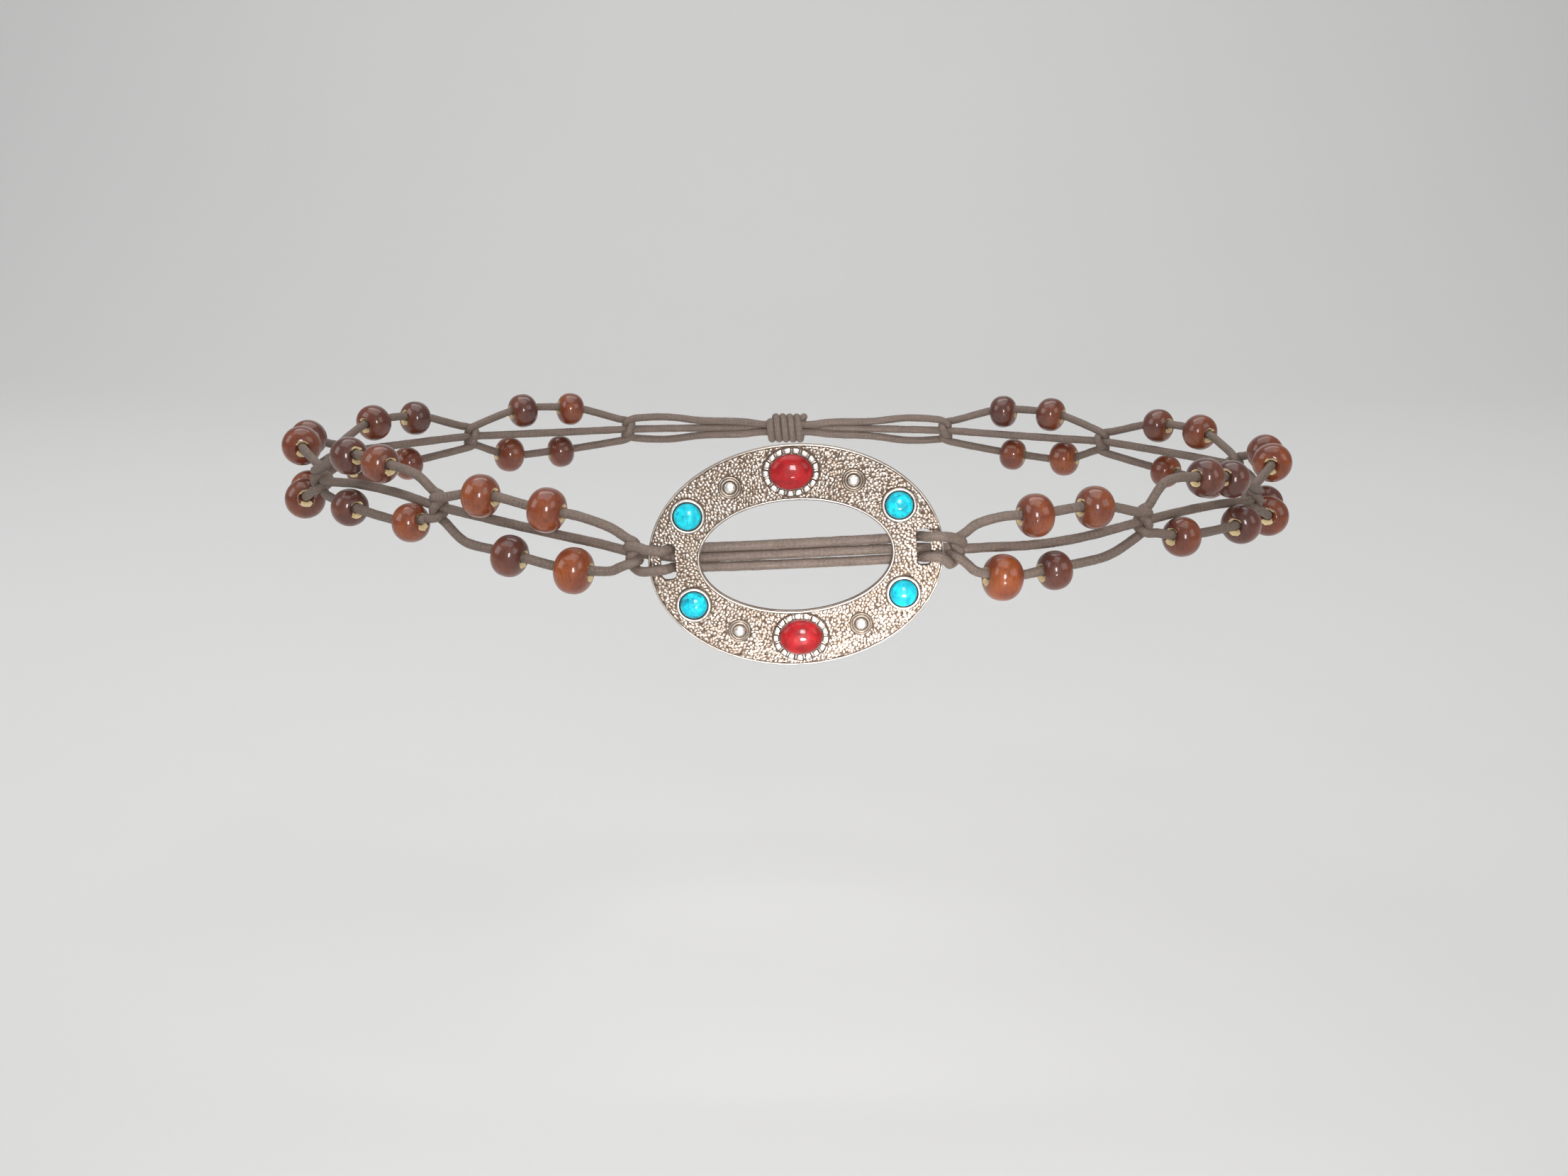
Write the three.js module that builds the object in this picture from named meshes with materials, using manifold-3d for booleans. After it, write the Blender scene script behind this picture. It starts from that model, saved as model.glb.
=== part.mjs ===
// Braided cord waist belt with a cast oval ring plate, worn form.
// Millimetres, +Z up, the wearer's front towards -Y. The origin is the middle
// of the waist that the belt goes round, level with the belt's mean height.
import * as THREE from 'three';
import { mergeVertices } from 'three/addons/utils/BufferGeometryUtils.js';
import Module from 'manifold-3d';

const wasm = await Module();
wasm.setup();

// ---------- driving sizes ----------
const GAP = 0.3;                 // clearance kept between separate pieces

const WAIST_A = 149;             // half width of the middle cord's oval, seen from above
const WAIST_B = 98.5;            // half depth of the same oval
const CORD_R = 1.2;              // radius of the pulled-tight core of each waxed cord
const CORD_SIDES = 6;
const RING_STEP = 12;            // longest straight step along a cord
const RING_TURN = 0.74;          // most that a cord turns in one step, radians

const PLATE_A = 40;              // half length of the oval plate
const PLATE_B = 30.5;            // half height of the oval plate
const PLATE_T = 1.8;             // plate thickness
const OPEN_A = 26;               // half length of the opening in the plate
const OPEN_B = 15.2;             // half height of the opening
const SLOT_U = 34.6;             // slot centre, out from the plate's centre
const SLOT_V = 0.4;
const SLOT_W = 4;                // slot width
const SLOT_H = 10;               // slot height
const SLOT_CORNER = 1.4;
const PLATE_X = 2.2;             // where the plate's centre hangs on the waist
const PLATE_Z = -6.1;
const PLATE_ROLL = THREE.MathUtils.degToRad(3.5);
const PLATE_OFF = PLATE_T / 2 + GAP + CORD_R;   // plate's middle plane out from the cords behind it
const PLATE_Y = -(WAIST_B + PLATE_OFF);

const STONE_BASE = 0.3;          // stone's underside above the plate's face
const BEZEL_SINK = 0.5;          // how far a bezel is rooted in the plate

const BEAD_HOLE = 2.3;           // bore radius of a bead
const BEAD_LONG = 0.78;          // bead length over its diameter
const BEAD_AROUND = 9;

const KNOT_LIFT = 2.9;           // middle cord's stand-off where a cord passes behind it
const MID_REST = 0.4;            // middle cord's stand-off halfway between knots
const SHOULDER_OFF = 4.4;        // outer cords' stand-off where no bead lifts them
const TIE_LONG = 14;             // plain tie at the middle of the back
const TIE_R = 5.4;
const TIE_SPREAD = 2.75;         // spacing of the three cords where they enter the tie

// ---------- looks ----------
const MAT = {
  cord:      { color: 0x6d6059, roughness: 0.72, metalness: 0 },
  metal:     { color: 0xa39c92, roughness: 0.34, metalness: 1 },
  wood:      { color: 0x7a2f16, roughness: 0.22, metalness: 0 },
  red:       { color: 0xc2121f, roughness: 0.16, metalness: 0 },
  turquoise: { color: 0x16b6d4, roughness: 0.25, metalness: 0 },
};

// ---------- tables ----------
// Knots round the middle cord, counted from the plate. along: distance round the
// waist from the front centre; z: height; lean: climb of the middle cord there, degrees;
// bow: how far the middle cord arches up in the section before this knot.
const KNOTS = {
  left: [
    { along: 41.2, z: -5.75, lean: 9, bow: 0 },
    { along: 100.6, z: 3.0, lean: 7, bow: -0.3 },
    { along: 157.5, z: 4.0, lean: 0, bow: 1.7 },
    { along: 216, z: 2.8, lean: -1.5, bow: 0 },
    { along: 275, z: 1.6, lean: -1.5, bow: 0 },
    { along: 334, z: 0.5, lean: -0.5, bow: 0 },
  ],
  right: [
    { along: 44.8, z: -4.7, lean: -5, bow: 0 },
    { along: 103.2, z: -1.5, lean: 6, bow: -2.5 },
    { along: 157.5, z: -2.0, lean: -1, bow: 0.9 },
    { along: 216, z: -1.2, lean: 0.5, bow: 0 },
    { along: 275, z: -0.3, lean: 0.5, bow: 0 },
    { along: 334, z: 0, lean: 0, bow: 0 },
  ],
};

// One knot, drawn from its centre outwards; the other half is the same turned half
// a turn. away: along the waist from the plate; up; off: out from the middle cord.
// The front cord crosses before the middle cord, the back cord behind it.
const KNOT_FRONT = [
  { away: 0, up: 0, off: 2.74 },
  { away: -0.62, up: 1.53, off: 2.26 },
  { away: -1.08, up: 2.62, off: 1.05 },
  { away: -0.90, up: 3.76, off: 0.0 },
  { away: 0.38, up: 5.18, off: -0.43 },
  { away: 2.24, up: 5.80, off: -0.13 },
];
const KNOT_BACK = [
  { away: 0, up: 0, off: -2.74 },
  { away: -0.66, up: -1.47, off: -2.28 },
  { away: -1.40, up: -2.55, off: -0.83 },
  { away: -1.62, up: -3.08, off: 0.75 },
  { away: -1.03, up: -3.99, off: 1.95 },
  { away: 0.65, up: -4.82, off: 2.51 },
  { away: 2.62, up: -5.14, off: 2.38 },
];

// The two knots beside the plate, where the cords come over its end bars.
// out: from the plate's centre along its length; up: along its height; off: out
// from its middle plane. open, back, slot and bar give a cord's height in the
// opening, behind the slot, in the slot and on the bar.
const SLOTS = [
  { side: 'left', cord: 'top', open: 3.3, back: 3.7, slot: 3.8, bar: 3.9 },
  { side: 'left', cord: 'bottom', open: -2.15, back: -1.75, slot: -1.6, bar: -1.3 },
  { side: 'right', cord: 'top', open: 2.7, back: 2.8, slot: 3.2, bar: 3.5 },
  { side: 'right', cord: 'bottom', open: -3.1, back: -3.0, slot: -2.6, bar: -2.1 },
];
const RING_KNOT = {
  left: {
    front: [
      { out: 40.44, up: -1.72, off: 2.30 }, { out: 42.11, up: -2.24, off: 0.70 },
      { out: 43.74, up: -2.44, off: -1.02 }, { out: 45.25, up: -1.09, off: -2.17 },
      { out: 45.64, up: 1.15, off: -1.78 }, { out: 44.61, up: 3.05, off: -0.88 },
      { out: 43.31, up: 4.93, off: -1.42 }, { out: 43.66, up: 7.18, off: -1.86 },
      { out: 45.59, up: 8.46, off: -2.31 }, { out: 48.86, up: 9.83, off: -2.94 },
    ],
    back: [
      { out: 40.35, up: 4.58, off: 2.23 }, { out: 43.57, up: 5.77, off: 1.15 },
      { out: 45.46, up: 5.99, off: -0.19 }, { out: 45.76, up: 5.58, off: -2.45 },
      { out: 44.54, up: 5.50, off: -4.48 }, { out: 43.59, up: 3.95, off: -5.94 },
      { out: 43.16, up: 1.66, off: -5.81 }, { out: 42.99, up: 0.15, off: -4.04 },
      { out: 42.94, up: 0.21, off: -1.68 }, { out: 44.26, up: -0.07, off: 0.18 },
      { out: 46.48, up: -0.80, off: 0.22 }, { out: 49.63, up: -1.55, off: -1.35 },
    ],
    middle: [
      { out: 26, up: 0.57, off: -2.4 }, { out: 33, up: 1.0, off: -2.4 },
      { out: 38.91, up: 1.97, off: -2.74 }, { out: 41.84, up: 2.55, off: -3.09 },
      { out: 44.74, up: 2.90, off: -3.71 }, { out: 47.50, up: 3.53, off: -4.69 },
      { out: 52.91, up: 4.88, off: -6.91 },
    ],
  },
  right: {
    front: [
      { out: 39.14, up: -2.54, off: 2.40 }, { out: 40.74, up: -4.17, off: 1.90 },
      { out: 41.35, up: -5.69, off: 0.16 }, { out: 42.62, up: -6.28, off: -1.70 },
      { out: 44.26, up: -5.14, off: -2.85 }, { out: 45.18, up: -3.09, off: -2.24 },
      { out: 44.36, up: -1.03, off: -1.47 }, { out: 43.27, up: 0.97, off: -2.03 },
      { out: 43.93, up: 3.05, off: -2.79 }, { out: 46.04, up: 4.02, off: -3.27 },
      { out: 49.48, up: 4.85, off: -3.90 },
    ],
    back: [
      { out: 40.45, up: 3.21, off: 2.23 }, { out: 43.56, up: 2.56, off: 0.53 },
      { out: 45.45, up: 1.96, off: -0.78 }, { out: 45.82, up: 1.13, off: -2.90 },
      { out: 44.53, up: 0.99, off: -4.89 }, { out: 43.10, up: -0.16, off: -6.32 },
      { out: 42.13, up: -2.27, off: -6.20 }, { out: 41.84, up: -3.73, off: -4.42 },
      { out: 42.18, up: -3.59, off: -2.10 }, { out: 43.58, up: -4.16, off: -0.36 },
      { out: 45.42, up: -5.60, off: -0.47 }, { out: 48.00, up: -7.51, off: -2.08 },
    ],
    middle: [
      { out: 26, up: -0.2, off: -2.4 }, { out: 33, up: -0.2, off: -2.4 },
      { out: 38.95, up: -0.87, off: -3.05 }, { out: 41.89, up: -1.13, off: -3.57 },
      { out: 44.68, up: -1.69, off: -4.50 }, { out: 47.41, up: -2.07, off: -5.67 },
      { out: 52.86, up: -2.66, off: -8.12 },
    ],
  },
};

// What lies along the outer cords in the first two sections of each side:
// bead is a bead's diameter, 0 where the row is only a point of the cord.
const RUNS = [
  { side: 'left', section: 1, level: 'upper', along: 56.5, z: 3.7, bead: 0 },
  { side: 'left', section: 1, level: 'upper', along: 65.2, z: 5.0, bead: 12.6 },
  { side: 'left', section: 1, level: 'upper', along: 85.2, z: 7.6, bead: 12.1 },
  { side: 'left', section: 1, level: 'lower', along: 57.8, z: -11.4, bead: 13.0 },
  { side: 'left', section: 1, level: 'lower', along: 76.9, z: -8.7, bead: 11.8 },
  { side: 'left', section: 1, level: 'lower', along: 91.2, z: -5.9, bead: 0 },
  { side: 'left', section: 2, level: 'upper', along: 106.9, z: 11.7, bead: 0 },
  { side: 'left', section: 2, level: 'upper', along: 120.9, z: 13.5, bead: 11.4 },
  { side: 'left', section: 2, level: 'upper', along: 135.3, z: 14.2, bead: 11.2 },
  { side: 'left', section: 2, level: 'lower', along: 108.6, z: -2.0, bead: 11.3 },
  { side: 'left', section: 2, level: 'lower', along: 136.5, z: -1.2, bead: 11.1 },
  { side: 'right', section: 1, level: 'upper', along: 57, z: 3.4, bead: 0 },
  { side: 'right', section: 1, level: 'upper', along: 67.2, z: 3.4, bead: 12.2 },
  { side: 'right', section: 1, level: 'upper', along: 85.3, z: 4.4, bead: 12.1 },
  { side: 'right', section: 1, level: 'lower', along: 58.1, z: -13.3, bead: 13.0 },
  { side: 'right', section: 1, level: 'lower', along: 73.8, z: -12.6, bead: 11.1 },
  { side: 'right', section: 1, level: 'lower', along: 90.5, z: -9.8, bead: 0 },
  { side: 'right', section: 2, level: 'upper', along: 109.4, z: 9.3, bead: 0 },
  { side: 'right', section: 2, level: 'upper', along: 125.7, z: 8.9, bead: 11.5 },
  { side: 'right', section: 2, level: 'upper', along: 139, z: 6.9, bead: 11.1 },
  { side: 'right', section: 2, level: 'lower', along: 115.9, z: -7.0, bead: 11.6 },
  { side: 'right', section: 2, level: 'lower', along: 143.7, z: -7.1, bead: 11.9 },
];
// The same in each section further back: after is the distance from the knot
// before it, rise the height over the middle cord.
const BACK_RUN = [
  { level: 'upper', after: 20.5, rise: 7.9, bead: 12.2 },
  { level: 'upper', after: 38, rise: 7.9, bead: 11.7 },
  { level: 'lower', after: 15, rise: -7.9, bead: 12.5 },
  { level: 'lower', after: 34, rise: -7.7, bead: 11.5 },
];

// Stones and studs on the plate. u: right, v: up, from the plate's centre.
const STONES = [
  { name: 'red_stone_top', mat: 'red', u: 0, v: 23.1, rx: 6, ry: 5, high: 3.2, rim: 1.35 },
  { name: 'red_stone_bottom', mat: 'red', u: 0, v: -22.4, rx: 6, ry: 5, high: 3.2, rim: 1.35 },
  { name: 'turquoise_top_left', mat: 'turquoise', u: -28.5, v: 12.7, rx: 3.9, ry: 3.9, high: 2.4, rim: 0.7 },
  { name: 'turquoise_top_right', mat: 'turquoise', u: 28.5, v: 12.4, rx: 3.9, ry: 3.9, high: 2.4, rim: 0.7 },
  { name: 'turquoise_bottom_left', mat: 'turquoise', u: -28.5, v: -11.8, rx: 3.9, ry: 3.9, high: 2.4, rim: 0.7 },
  { name: 'turquoise_bottom_right', mat: 'turquoise', u: 28.5, v: -11.9, rx: 3.9, ry: 3.9, high: 2.4, rim: 0.7 },
];
const STUD = { u: 16.6, v: 19.8, core: 1.75, coreHigh: 1.1, rim: 2.9, rimHigh: 0.45 };

// ---------- the waist oval ----------
// Angle from the front centre against distance walked round the oval.
const OVAL = (() => {
  const steps = 7200;
  const rows = [{ angle: 0, along: 0 }];
  for (let i = 1; i <= steps; i++) {
    const angle = Math.PI * i / steps, mid = Math.PI * (i - 0.5) / steps;
    const speed = Math.hypot(WAIST_A * Math.cos(mid), WAIST_B * Math.sin(mid));
    rows.push({ angle, along: rows[i - 1].along + speed * Math.PI / steps });
  }
  return rows;
})();
const HALF_ROUND = OVAL[OVAL.length - 1].along;

function ovalAngle(along) {
  let lo = 0, hi = OVAL.length - 1;
  while (hi - lo > 1) {
    const mid = (lo + hi) >> 1;
    if (OVAL[mid].along < along) lo = mid; else hi = mid;
  }
  const k = (along - OVAL[lo].along) / (OVAL[hi].along - OVAL[lo].along);
  return OVAL[lo].angle + k * (OVAL[hi].angle - OVAL[lo].angle);
}

const signOf = (side) => (side === 'left' ? -1 : 1);

// A point on the waist: along from the front centre on one side, height z,
// standing off outwards from the middle cord's oval.
function onWaist(side, along, z, off) {
  const angle = ovalAngle(along);
  const nx = Math.sin(angle) / WAIST_A, ny = -Math.cos(angle) / WAIST_B;
  const len = Math.hypot(nx, ny);
  const x = WAIST_A * Math.sin(angle) + off * nx / len;
  const y = -WAIST_B * Math.cos(angle) + off * ny / len;
  return new THREE.Vector3(signOf(side) * x, y, z);
}

// A point in the plate's own frame, as the ring knot table gives it.
function onPlate(side, { out, up, off }) {
  const u = signOf(side) * out;
  const c = Math.cos(PLATE_ROLL), s = Math.sin(PLATE_ROLL);
  return new THREE.Vector3(PLATE_X + u * c - up * s, PLATE_Y - off, PLATE_Z + u * s + up * c);
}

// ---------- cord routes ----------
// Height and stand-off of the middle cord at a distance along one side.
function middleAt(side, along) {
  const knots = KNOTS[side];
  const last = knots[knots.length - 1];
  if (along >= last.along) {
    const k = (along - last.along) / (HALF_ROUND - last.along);
    return { z: last.z * (1 - k), off: KNOT_LIFT + (2 - KNOT_LIFT) * k };
  }
  const i = Math.max(1, knots.findIndex((k) => k.along >= along));
  const a = knots[i - 1], b = knots[i];
  const k = (along - a.along) / (b.along - a.along);
  const arch = 4 * k * (1 - k);
  return {
    z: a.z + (b.z - a.z) * k + b.bow * arch,
    off: KNOT_LIFT - (KNOT_LIFT - MID_REST) * arch,
  };
}

function knotPoint(side, knot, row, half) {
  const lean = THREE.MathUtils.degToRad(knot.lean);
  const away = half * row.away, up = half * row.up;
  return onWaist(side,
    knot.along + away * Math.cos(lean) - up * Math.sin(lean),
    knot.z + away * Math.sin(lean) + up * Math.cos(lean),
    KNOT_LIFT + row.off);
}

// All of one cord's points in a knot, from the plate's side to the far side.
function throughKnot(side, knot, rows) {
  const before = rows.slice(1).reverse().map((row) => knotPoint(side, knot, row, -1));
  return [...before, ...rows.map((row) => knotPoint(side, knot, row, 1))];
}

// Beads stand on the waist, or further out where the middle cord is in the way.
function beadOff(side, row) {
  const r = row.bead / 2;
  const middle = middleAt(side, row.along);
  const need = r + CORD_R + GAP + 0.1;
  const rise = row.z - middle.z;
  const over = need > Math.abs(rise) ? Math.sqrt(need * need - rise * rise) : 0;
  return Math.max(r - CORD_R, middle.off + over);
}

function runRows(side, section, level) {
  if (section <= 2) {
    return RUNS.filter((r) => r.side === side && r.section === section && r.level === level);
  }
  const knot = KNOTS[side][section - 1];
  return BACK_RUN.filter((r) => r.level === level).map((r) => {
    const along = knot.along + r.after;
    return { side, section, level, along, z: middleAt(side, along).z + r.rise, bead: r.bead };
  });
}

// The beads of every section, with the point and direction that each is threaded at.
const beads = [];
function alongRun(side, section, level, from, to) {
  const rows = runRows(side, section, level);
  const centres = rows.map((row) => onWaist(side, row.along, row.z, row.bead ? beadOff(side, row) : SHOULDER_OFF));
  const chain = [from, ...centres, to];
  const points = [];
  let number = 0;
  rows.forEach((row, i) => {
    const centre = centres[i];
    if (!row.bead) { points.push(centre); return; }
    number += 1;
    const before = centre.clone().sub(chain[i]).normalize();
    const after = chain[i + 2].clone().sub(centre).normalize();
    const axis = before.add(after).normalize();
    const half = row.bead * BEAD_LONG / 2;
    beads.push({
      name: `bead_${side}_${section}_${level}_${number}`, centre, axis, d: row.bead,
    });
    points.push(centre.clone().addScaledVector(axis, -half * 0.9), centre, centre.clone().addScaledVector(axis, half * 0.9));
  });
  return points;
}

// One outer cord on one side, from the plate's slot to the tie at the back.
// It changes between the upper and the lower row at each knot.
function outerCord(side, cord) {
  const slot = SLOTS.find((s) => s.side === side && s.cord === cord);
  const edgeIn = SLOT_U - SLOT_W / 2, edgeOut = SLOT_U + SLOT_W / 2;
  const r = CORD_R + GAP, half = PLATE_T / 2, h = PLATE_OFF, k = Math.SQRT1_2;
  const mix = (t) => slot.back + (slot.bar - slot.back) * t;
  const points = [
    { out: OPEN_A, up: slot.open, off: -h },
    { out: edgeIn - 1.4, up: slot.back, off: -h },
    { out: edgeIn, up: slot.back, off: -h },
    { out: edgeIn + r * k, up: mix(0.25), off: -half - r * k },
    { out: edgeIn + r, up: mix(0.4), off: -half },
    { out: SLOT_U, up: slot.slot, off: 0 },
    { out: edgeOut - r, up: mix(0.65), off: half },
    { out: edgeOut - r * k, up: mix(0.85), off: half + r * k },
    { out: edgeOut, up: slot.bar, off: h },
    { out: edgeOut + 1.5, up: slot.bar, off: h },
    ...RING_KNOT[side][cord === 'bottom' ? 'front' : 'back'],
  ].map((row) => onPlate(side, row));

  let level = cord === 'bottom' ? 'upper' : 'lower';
  const knots = KNOTS[side];
  for (let n = 1; n < knots.length; n++) {
    const rows = level === 'upper' ? KNOT_BACK : KNOT_FRONT;
    const knot = throughKnot(side, knots[n], rows);
    points.push(...alongRun(side, n, level, points[points.length - 1], knot[0]), ...knot);
    level = level === 'upper' ? 'lower' : 'upper';
  }
  const rise = level === 'upper' ? 1 : -1;
  const end = HALF_ROUND - TIE_LONG / 2 - GAP;
  for (const [along, up] of [[knots[5].along + 14, 4.2], [end - 24, TIE_SPREAD], [end - 10, TIE_SPREAD], [end, TIE_SPREAD]]) {
    const m = middleAt(side, along);
    points.push(onWaist(side, along, m.z + rise * up, along > end - 30 ? m.off : m.off + 1));
  }
  return points;
}

function middleCord(side) {
  const points = RING_KNOT[side].middle.map((row) => onPlate(side, row));
  const knots = KNOTS[side];
  for (let n = 1; n < knots.length; n++) {
    const a = knots[n - 1], b = knots[n];
    for (const k of n === 1 ? [0.42, 0.66] : [0.3, 0.65]) {
      const along = a.along + k * (b.along - a.along);
      const m = middleAt(side, along);
      points.push(onWaist(side, along, m.z, m.off));
    }
    for (const away of [-3.4, 0, 3.4]) points.push(knotPoint(side, b, { away, up: 0, off: 0 }, 1));
  }
  const end = HALF_ROUND - TIE_LONG / 2 - GAP;
  for (const along of [knots[5].along + 26, end - 10, end]) {
    const m = middleAt(side, along);
    points.push(onWaist(side, along, m.z, m.off));
  }
  return points;
}

// ---------- solids ----------
// A path whose steps are short where the cord bends and long where it is straight.
class CordPath extends THREE.Curve {
  constructor(points) {
    super();
    const smooth = new THREE.CatmullRomCurve3(points, false, 'centripetal');
    const dense = (points.length - 1) * 24;
    this.rings = [];
    let cost = 1, prev = null;
    for (let i = 0; i <= dense; i++) {
      const point = smooth.getPoint(i / dense), tangent = smooth.getTangent(i / dense);
      if (prev) {
        cost += prev.point.distanceTo(point) / RING_STEP + prev.tangent.angleTo(tangent) / RING_TURN;
      }
      if (cost >= 1 || i === dense) {
        if (i === dense && cost < 0.4) this.rings.pop();
        this.rings.push({ point, tangent });
        cost = 0;
      }
      prev = { point, tangent };
    }
  }
  ring(t) { return this.rings[Math.round(t * (this.rings.length - 1))]; }
  getPoint(t, target = new THREE.Vector3()) { return target.copy(this.ring(t).point); }
  getPointAt(t, target) { return this.getPoint(t, target); }
  getTangent(t, target = new THREE.Vector3()) { return target.copy(this.ring(t).tangent); }
  getTangentAt(t, target) { return this.getTangent(t, target); }
}

function cordSolid(points) {
  const path = new CordPath(points);
  const section = new THREE.Shape();
  for (let i = 0; i < CORD_SIDES; i++) {
    const a = 2 * Math.PI * i / CORD_SIDES;
    if (i === 0) section.moveTo(CORD_R, 0); else section.lineTo(CORD_R * Math.cos(a), CORD_R * Math.sin(a));
  }
  section.closePath();
  return new THREE.ExtrudeGeometry(section, { steps: path.rings.length - 1, extrudePath: path, bevelEnabled: false });
}

// An oblate bead with a straight bore, its axis along Y.
function beadSolid(d) {
  const r = d / 2, h = d * BEAD_LONG / 2;
  const profile = [
    new THREE.Vector2(BEAD_HOLE, -h),
    new THREE.Vector2(r * 0.68, -h * 0.9),
    new THREE.Vector2(r * 0.98, -h * 0.36),
    new THREE.Vector2(r * 0.98, h * 0.36),
    new THREE.Vector2(r * 0.68, h * 0.9),
    new THREE.Vector2(BEAD_HOLE, h),
    new THREE.Vector2(BEAD_HOLE, -h),
  ];
  return new THREE.LatheGeometry(profile, BEAD_AROUND);
}

function ovalPath(target, rx, ry, segments, cx = 0, cy = 0) {
  for (let i = 0; i < segments; i++) {
    const a = 2 * Math.PI * i / segments;
    const x = cx + rx * Math.cos(a), y = cy + ry * Math.sin(a);
    if (i === 0) target.moveTo(x, y); else target.lineTo(x, y);
  }
  target.closePath();
  return target;
}

function slotPath(cx, cy) {
  const path = new THREE.Path();
  const w = SLOT_W / 2, h = SLOT_H / 2, c = SLOT_CORNER;
  const corners = [[w - c, h - c, 0], [-w + c, h - c, 90], [-w + c, -h + c, 180], [w - c, -h + c, 270]];
  let first = true;
  for (const [x, y, start] of corners) {
    for (const turn of [0, 45, 90]) {
      const a = THREE.MathUtils.degToRad(start + turn);
      const px = cx + x + c * Math.cos(a), py = cy + y + c * Math.sin(a);
      if (first) { path.moveTo(px, py); first = false; } else path.lineTo(px, py);
    }
  }
  path.closePath();
  return path;
}

function toManifold(geometry, x = 0, y = 0, z = 0) {
  const bare = geometry.clone();
  bare.deleteAttribute('normal');
  bare.deleteAttribute('uv');
  bare.translate(x, y, z);
  const merged = mergeVertices(bare, 1e-4);
  return new wasm.Manifold(new wasm.Mesh({
    numProp: 3,
    vertProperties: new Float32Array(merged.attributes.position.array),
    triVerts: new Uint32Array(merged.index.array),
  }));
}

function fromManifold(solid) {
  const mesh = solid.getMesh();
  const geometry = new THREE.BufferGeometry();
  geometry.setAttribute('position', new THREE.BufferAttribute(new Float32Array(mesh.vertProperties), 3));
  geometry.setIndex(new THREE.BufferAttribute(new Uint32Array(mesh.triVerts), 1));
  geometry.computeVertexNormals();
  return geometry;
}

function extrude(shape, depth) {
  return new THREE.ExtrudeGeometry(shape, { depth, bevelEnabled: false, curveSegments: 1 });
}

// A disc standing on the plate, its axis along the plate's outward normal.
function disc(radius, high, segments) {
  return new THREE.CylinderGeometry(radius, radius, high + BEZEL_SINK, segments)
    .rotateX(Math.PI / 2)
    .translate(0, 0, (high - BEZEL_SINK) / 2);
}

// The plate with its bezels and studs, in its own frame: X right, Y up, Z out,
// Z = 0 on its front face.
function plateSolid() {
  const outline = ovalPath(new THREE.Shape(), PLATE_A, PLATE_B, 48);
  outline.holes.push(ovalPath(new THREE.Path(), OPEN_A, OPEN_B, 36));
  outline.holes.push(slotPath(-SLOT_U, SLOT_V), slotPath(SLOT_U, SLOT_V));
  let solid = toManifold(extrude(outline, PLATE_T), 0, 0, -PLATE_T);
  for (const s of STONES) {
    const segments = s.mat === 'red' ? 20 : 14;
    const wallIn = GAP, wallOut = GAP + s.rim;
    const ring = ovalPath(new THREE.Shape(), s.rx + wallOut, s.ry + wallOut, segments);
    ring.holes.push(ovalPath(new THREE.Path(), s.rx + wallIn, s.ry + wallIn, segments));
    const high = s.mat === 'red' ? 1.3 : 1.1;
    solid = solid.add(toManifold(extrude(ring, high + BEZEL_SINK), s.u, s.v, -BEZEL_SINK));
  }
  for (const su of [-1, 1]) {
    for (const sv of [-1, 1]) {
      solid = solid
        .add(toManifold(disc(STUD.rim, STUD.rimHigh, 12), su * STUD.u, sv * STUD.v, 0))
        .add(toManifold(disc(STUD.core, STUD.coreHigh, 8), su * STUD.u, sv * STUD.v, 0));
    }
  }
  return fromManifold(solid);
}

// A cabochon: a low dome on a short straight girdle, its flat back at Z = 0.
function stoneSolid(stone) {
  const girdle = 0.8, rise = stone.high - girdle, n = 3;
  const profile = [new THREE.Vector2(0, 0), new THREE.Vector2(1, 0)];
  for (let i = 0; i <= n; i++) {
    const a = Math.PI / 2 * i / n;
    profile.push(new THREE.Vector2(Math.cos(a) < 1e-9 ? 0 : Math.cos(a), girdle + rise * Math.sin(a)));
  }
  return new THREE.LatheGeometry(profile, stone.mat === 'red' ? 16 : 12)
    .rotateX(Math.PI / 2)
    .scale(stone.rx, stone.ry, 1);
}

// The plain tie: a short wound barrel with rounded ends, its axis along Y.
function tieSolid() {
  const h = TIE_LONG / 2;
  const profile = [
    new THREE.Vector2(0, -h), new THREE.Vector2(TIE_R * 0.82, -h), new THREE.Vector2(TIE_R, -h + 1.4),
    new THREE.Vector2(TIE_R, h - 1.4), new THREE.Vector2(TIE_R * 0.82, h), new THREE.Vector2(0, h),
  ];
  return new THREE.LatheGeometry(profile, 14);
}

// ---------- assembly ----------
const materials = {};
for (const [name, looks] of Object.entries(MAT)) materials[name] = new THREE.MeshStandardMaterial({ name, ...looks });

const belt = new THREE.Group();
function add(parent, name, geometry, material) {
  const mesh = new THREE.Mesh(geometry, materials[material].clone());
  mesh.name = name;
  parent.add(mesh);
  return mesh;
}

const plate = new THREE.Group();
plate.position.set(PLATE_X, PLATE_Y - PLATE_T / 2, PLATE_Z);
plate.rotation.x = Math.PI / 2;
belt.add(plate);
const rolled = new THREE.Group();
rolled.rotation.z = PLATE_ROLL;
plate.add(rolled);
add(rolled, 'oval_ring_plate', plateSolid(), 'metal');
for (const stone of STONES) {
  add(rolled, stone.name, stoneSolid(stone), stone.mat).position.set(stone.u, stone.v, STONE_BASE);
}

for (const cord of ['top', 'bottom']) {
  const left = outerCord('left', cord), right = outerCord('right', cord);
  add(belt, `cord_ring_${cord}`, cordSolid([...left.reverse(), ...right]), 'cord');
}
add(belt, 'cord_middle', cordSolid([...middleCord('left').reverse(), ...middleCord('right')]), 'cord');

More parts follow.
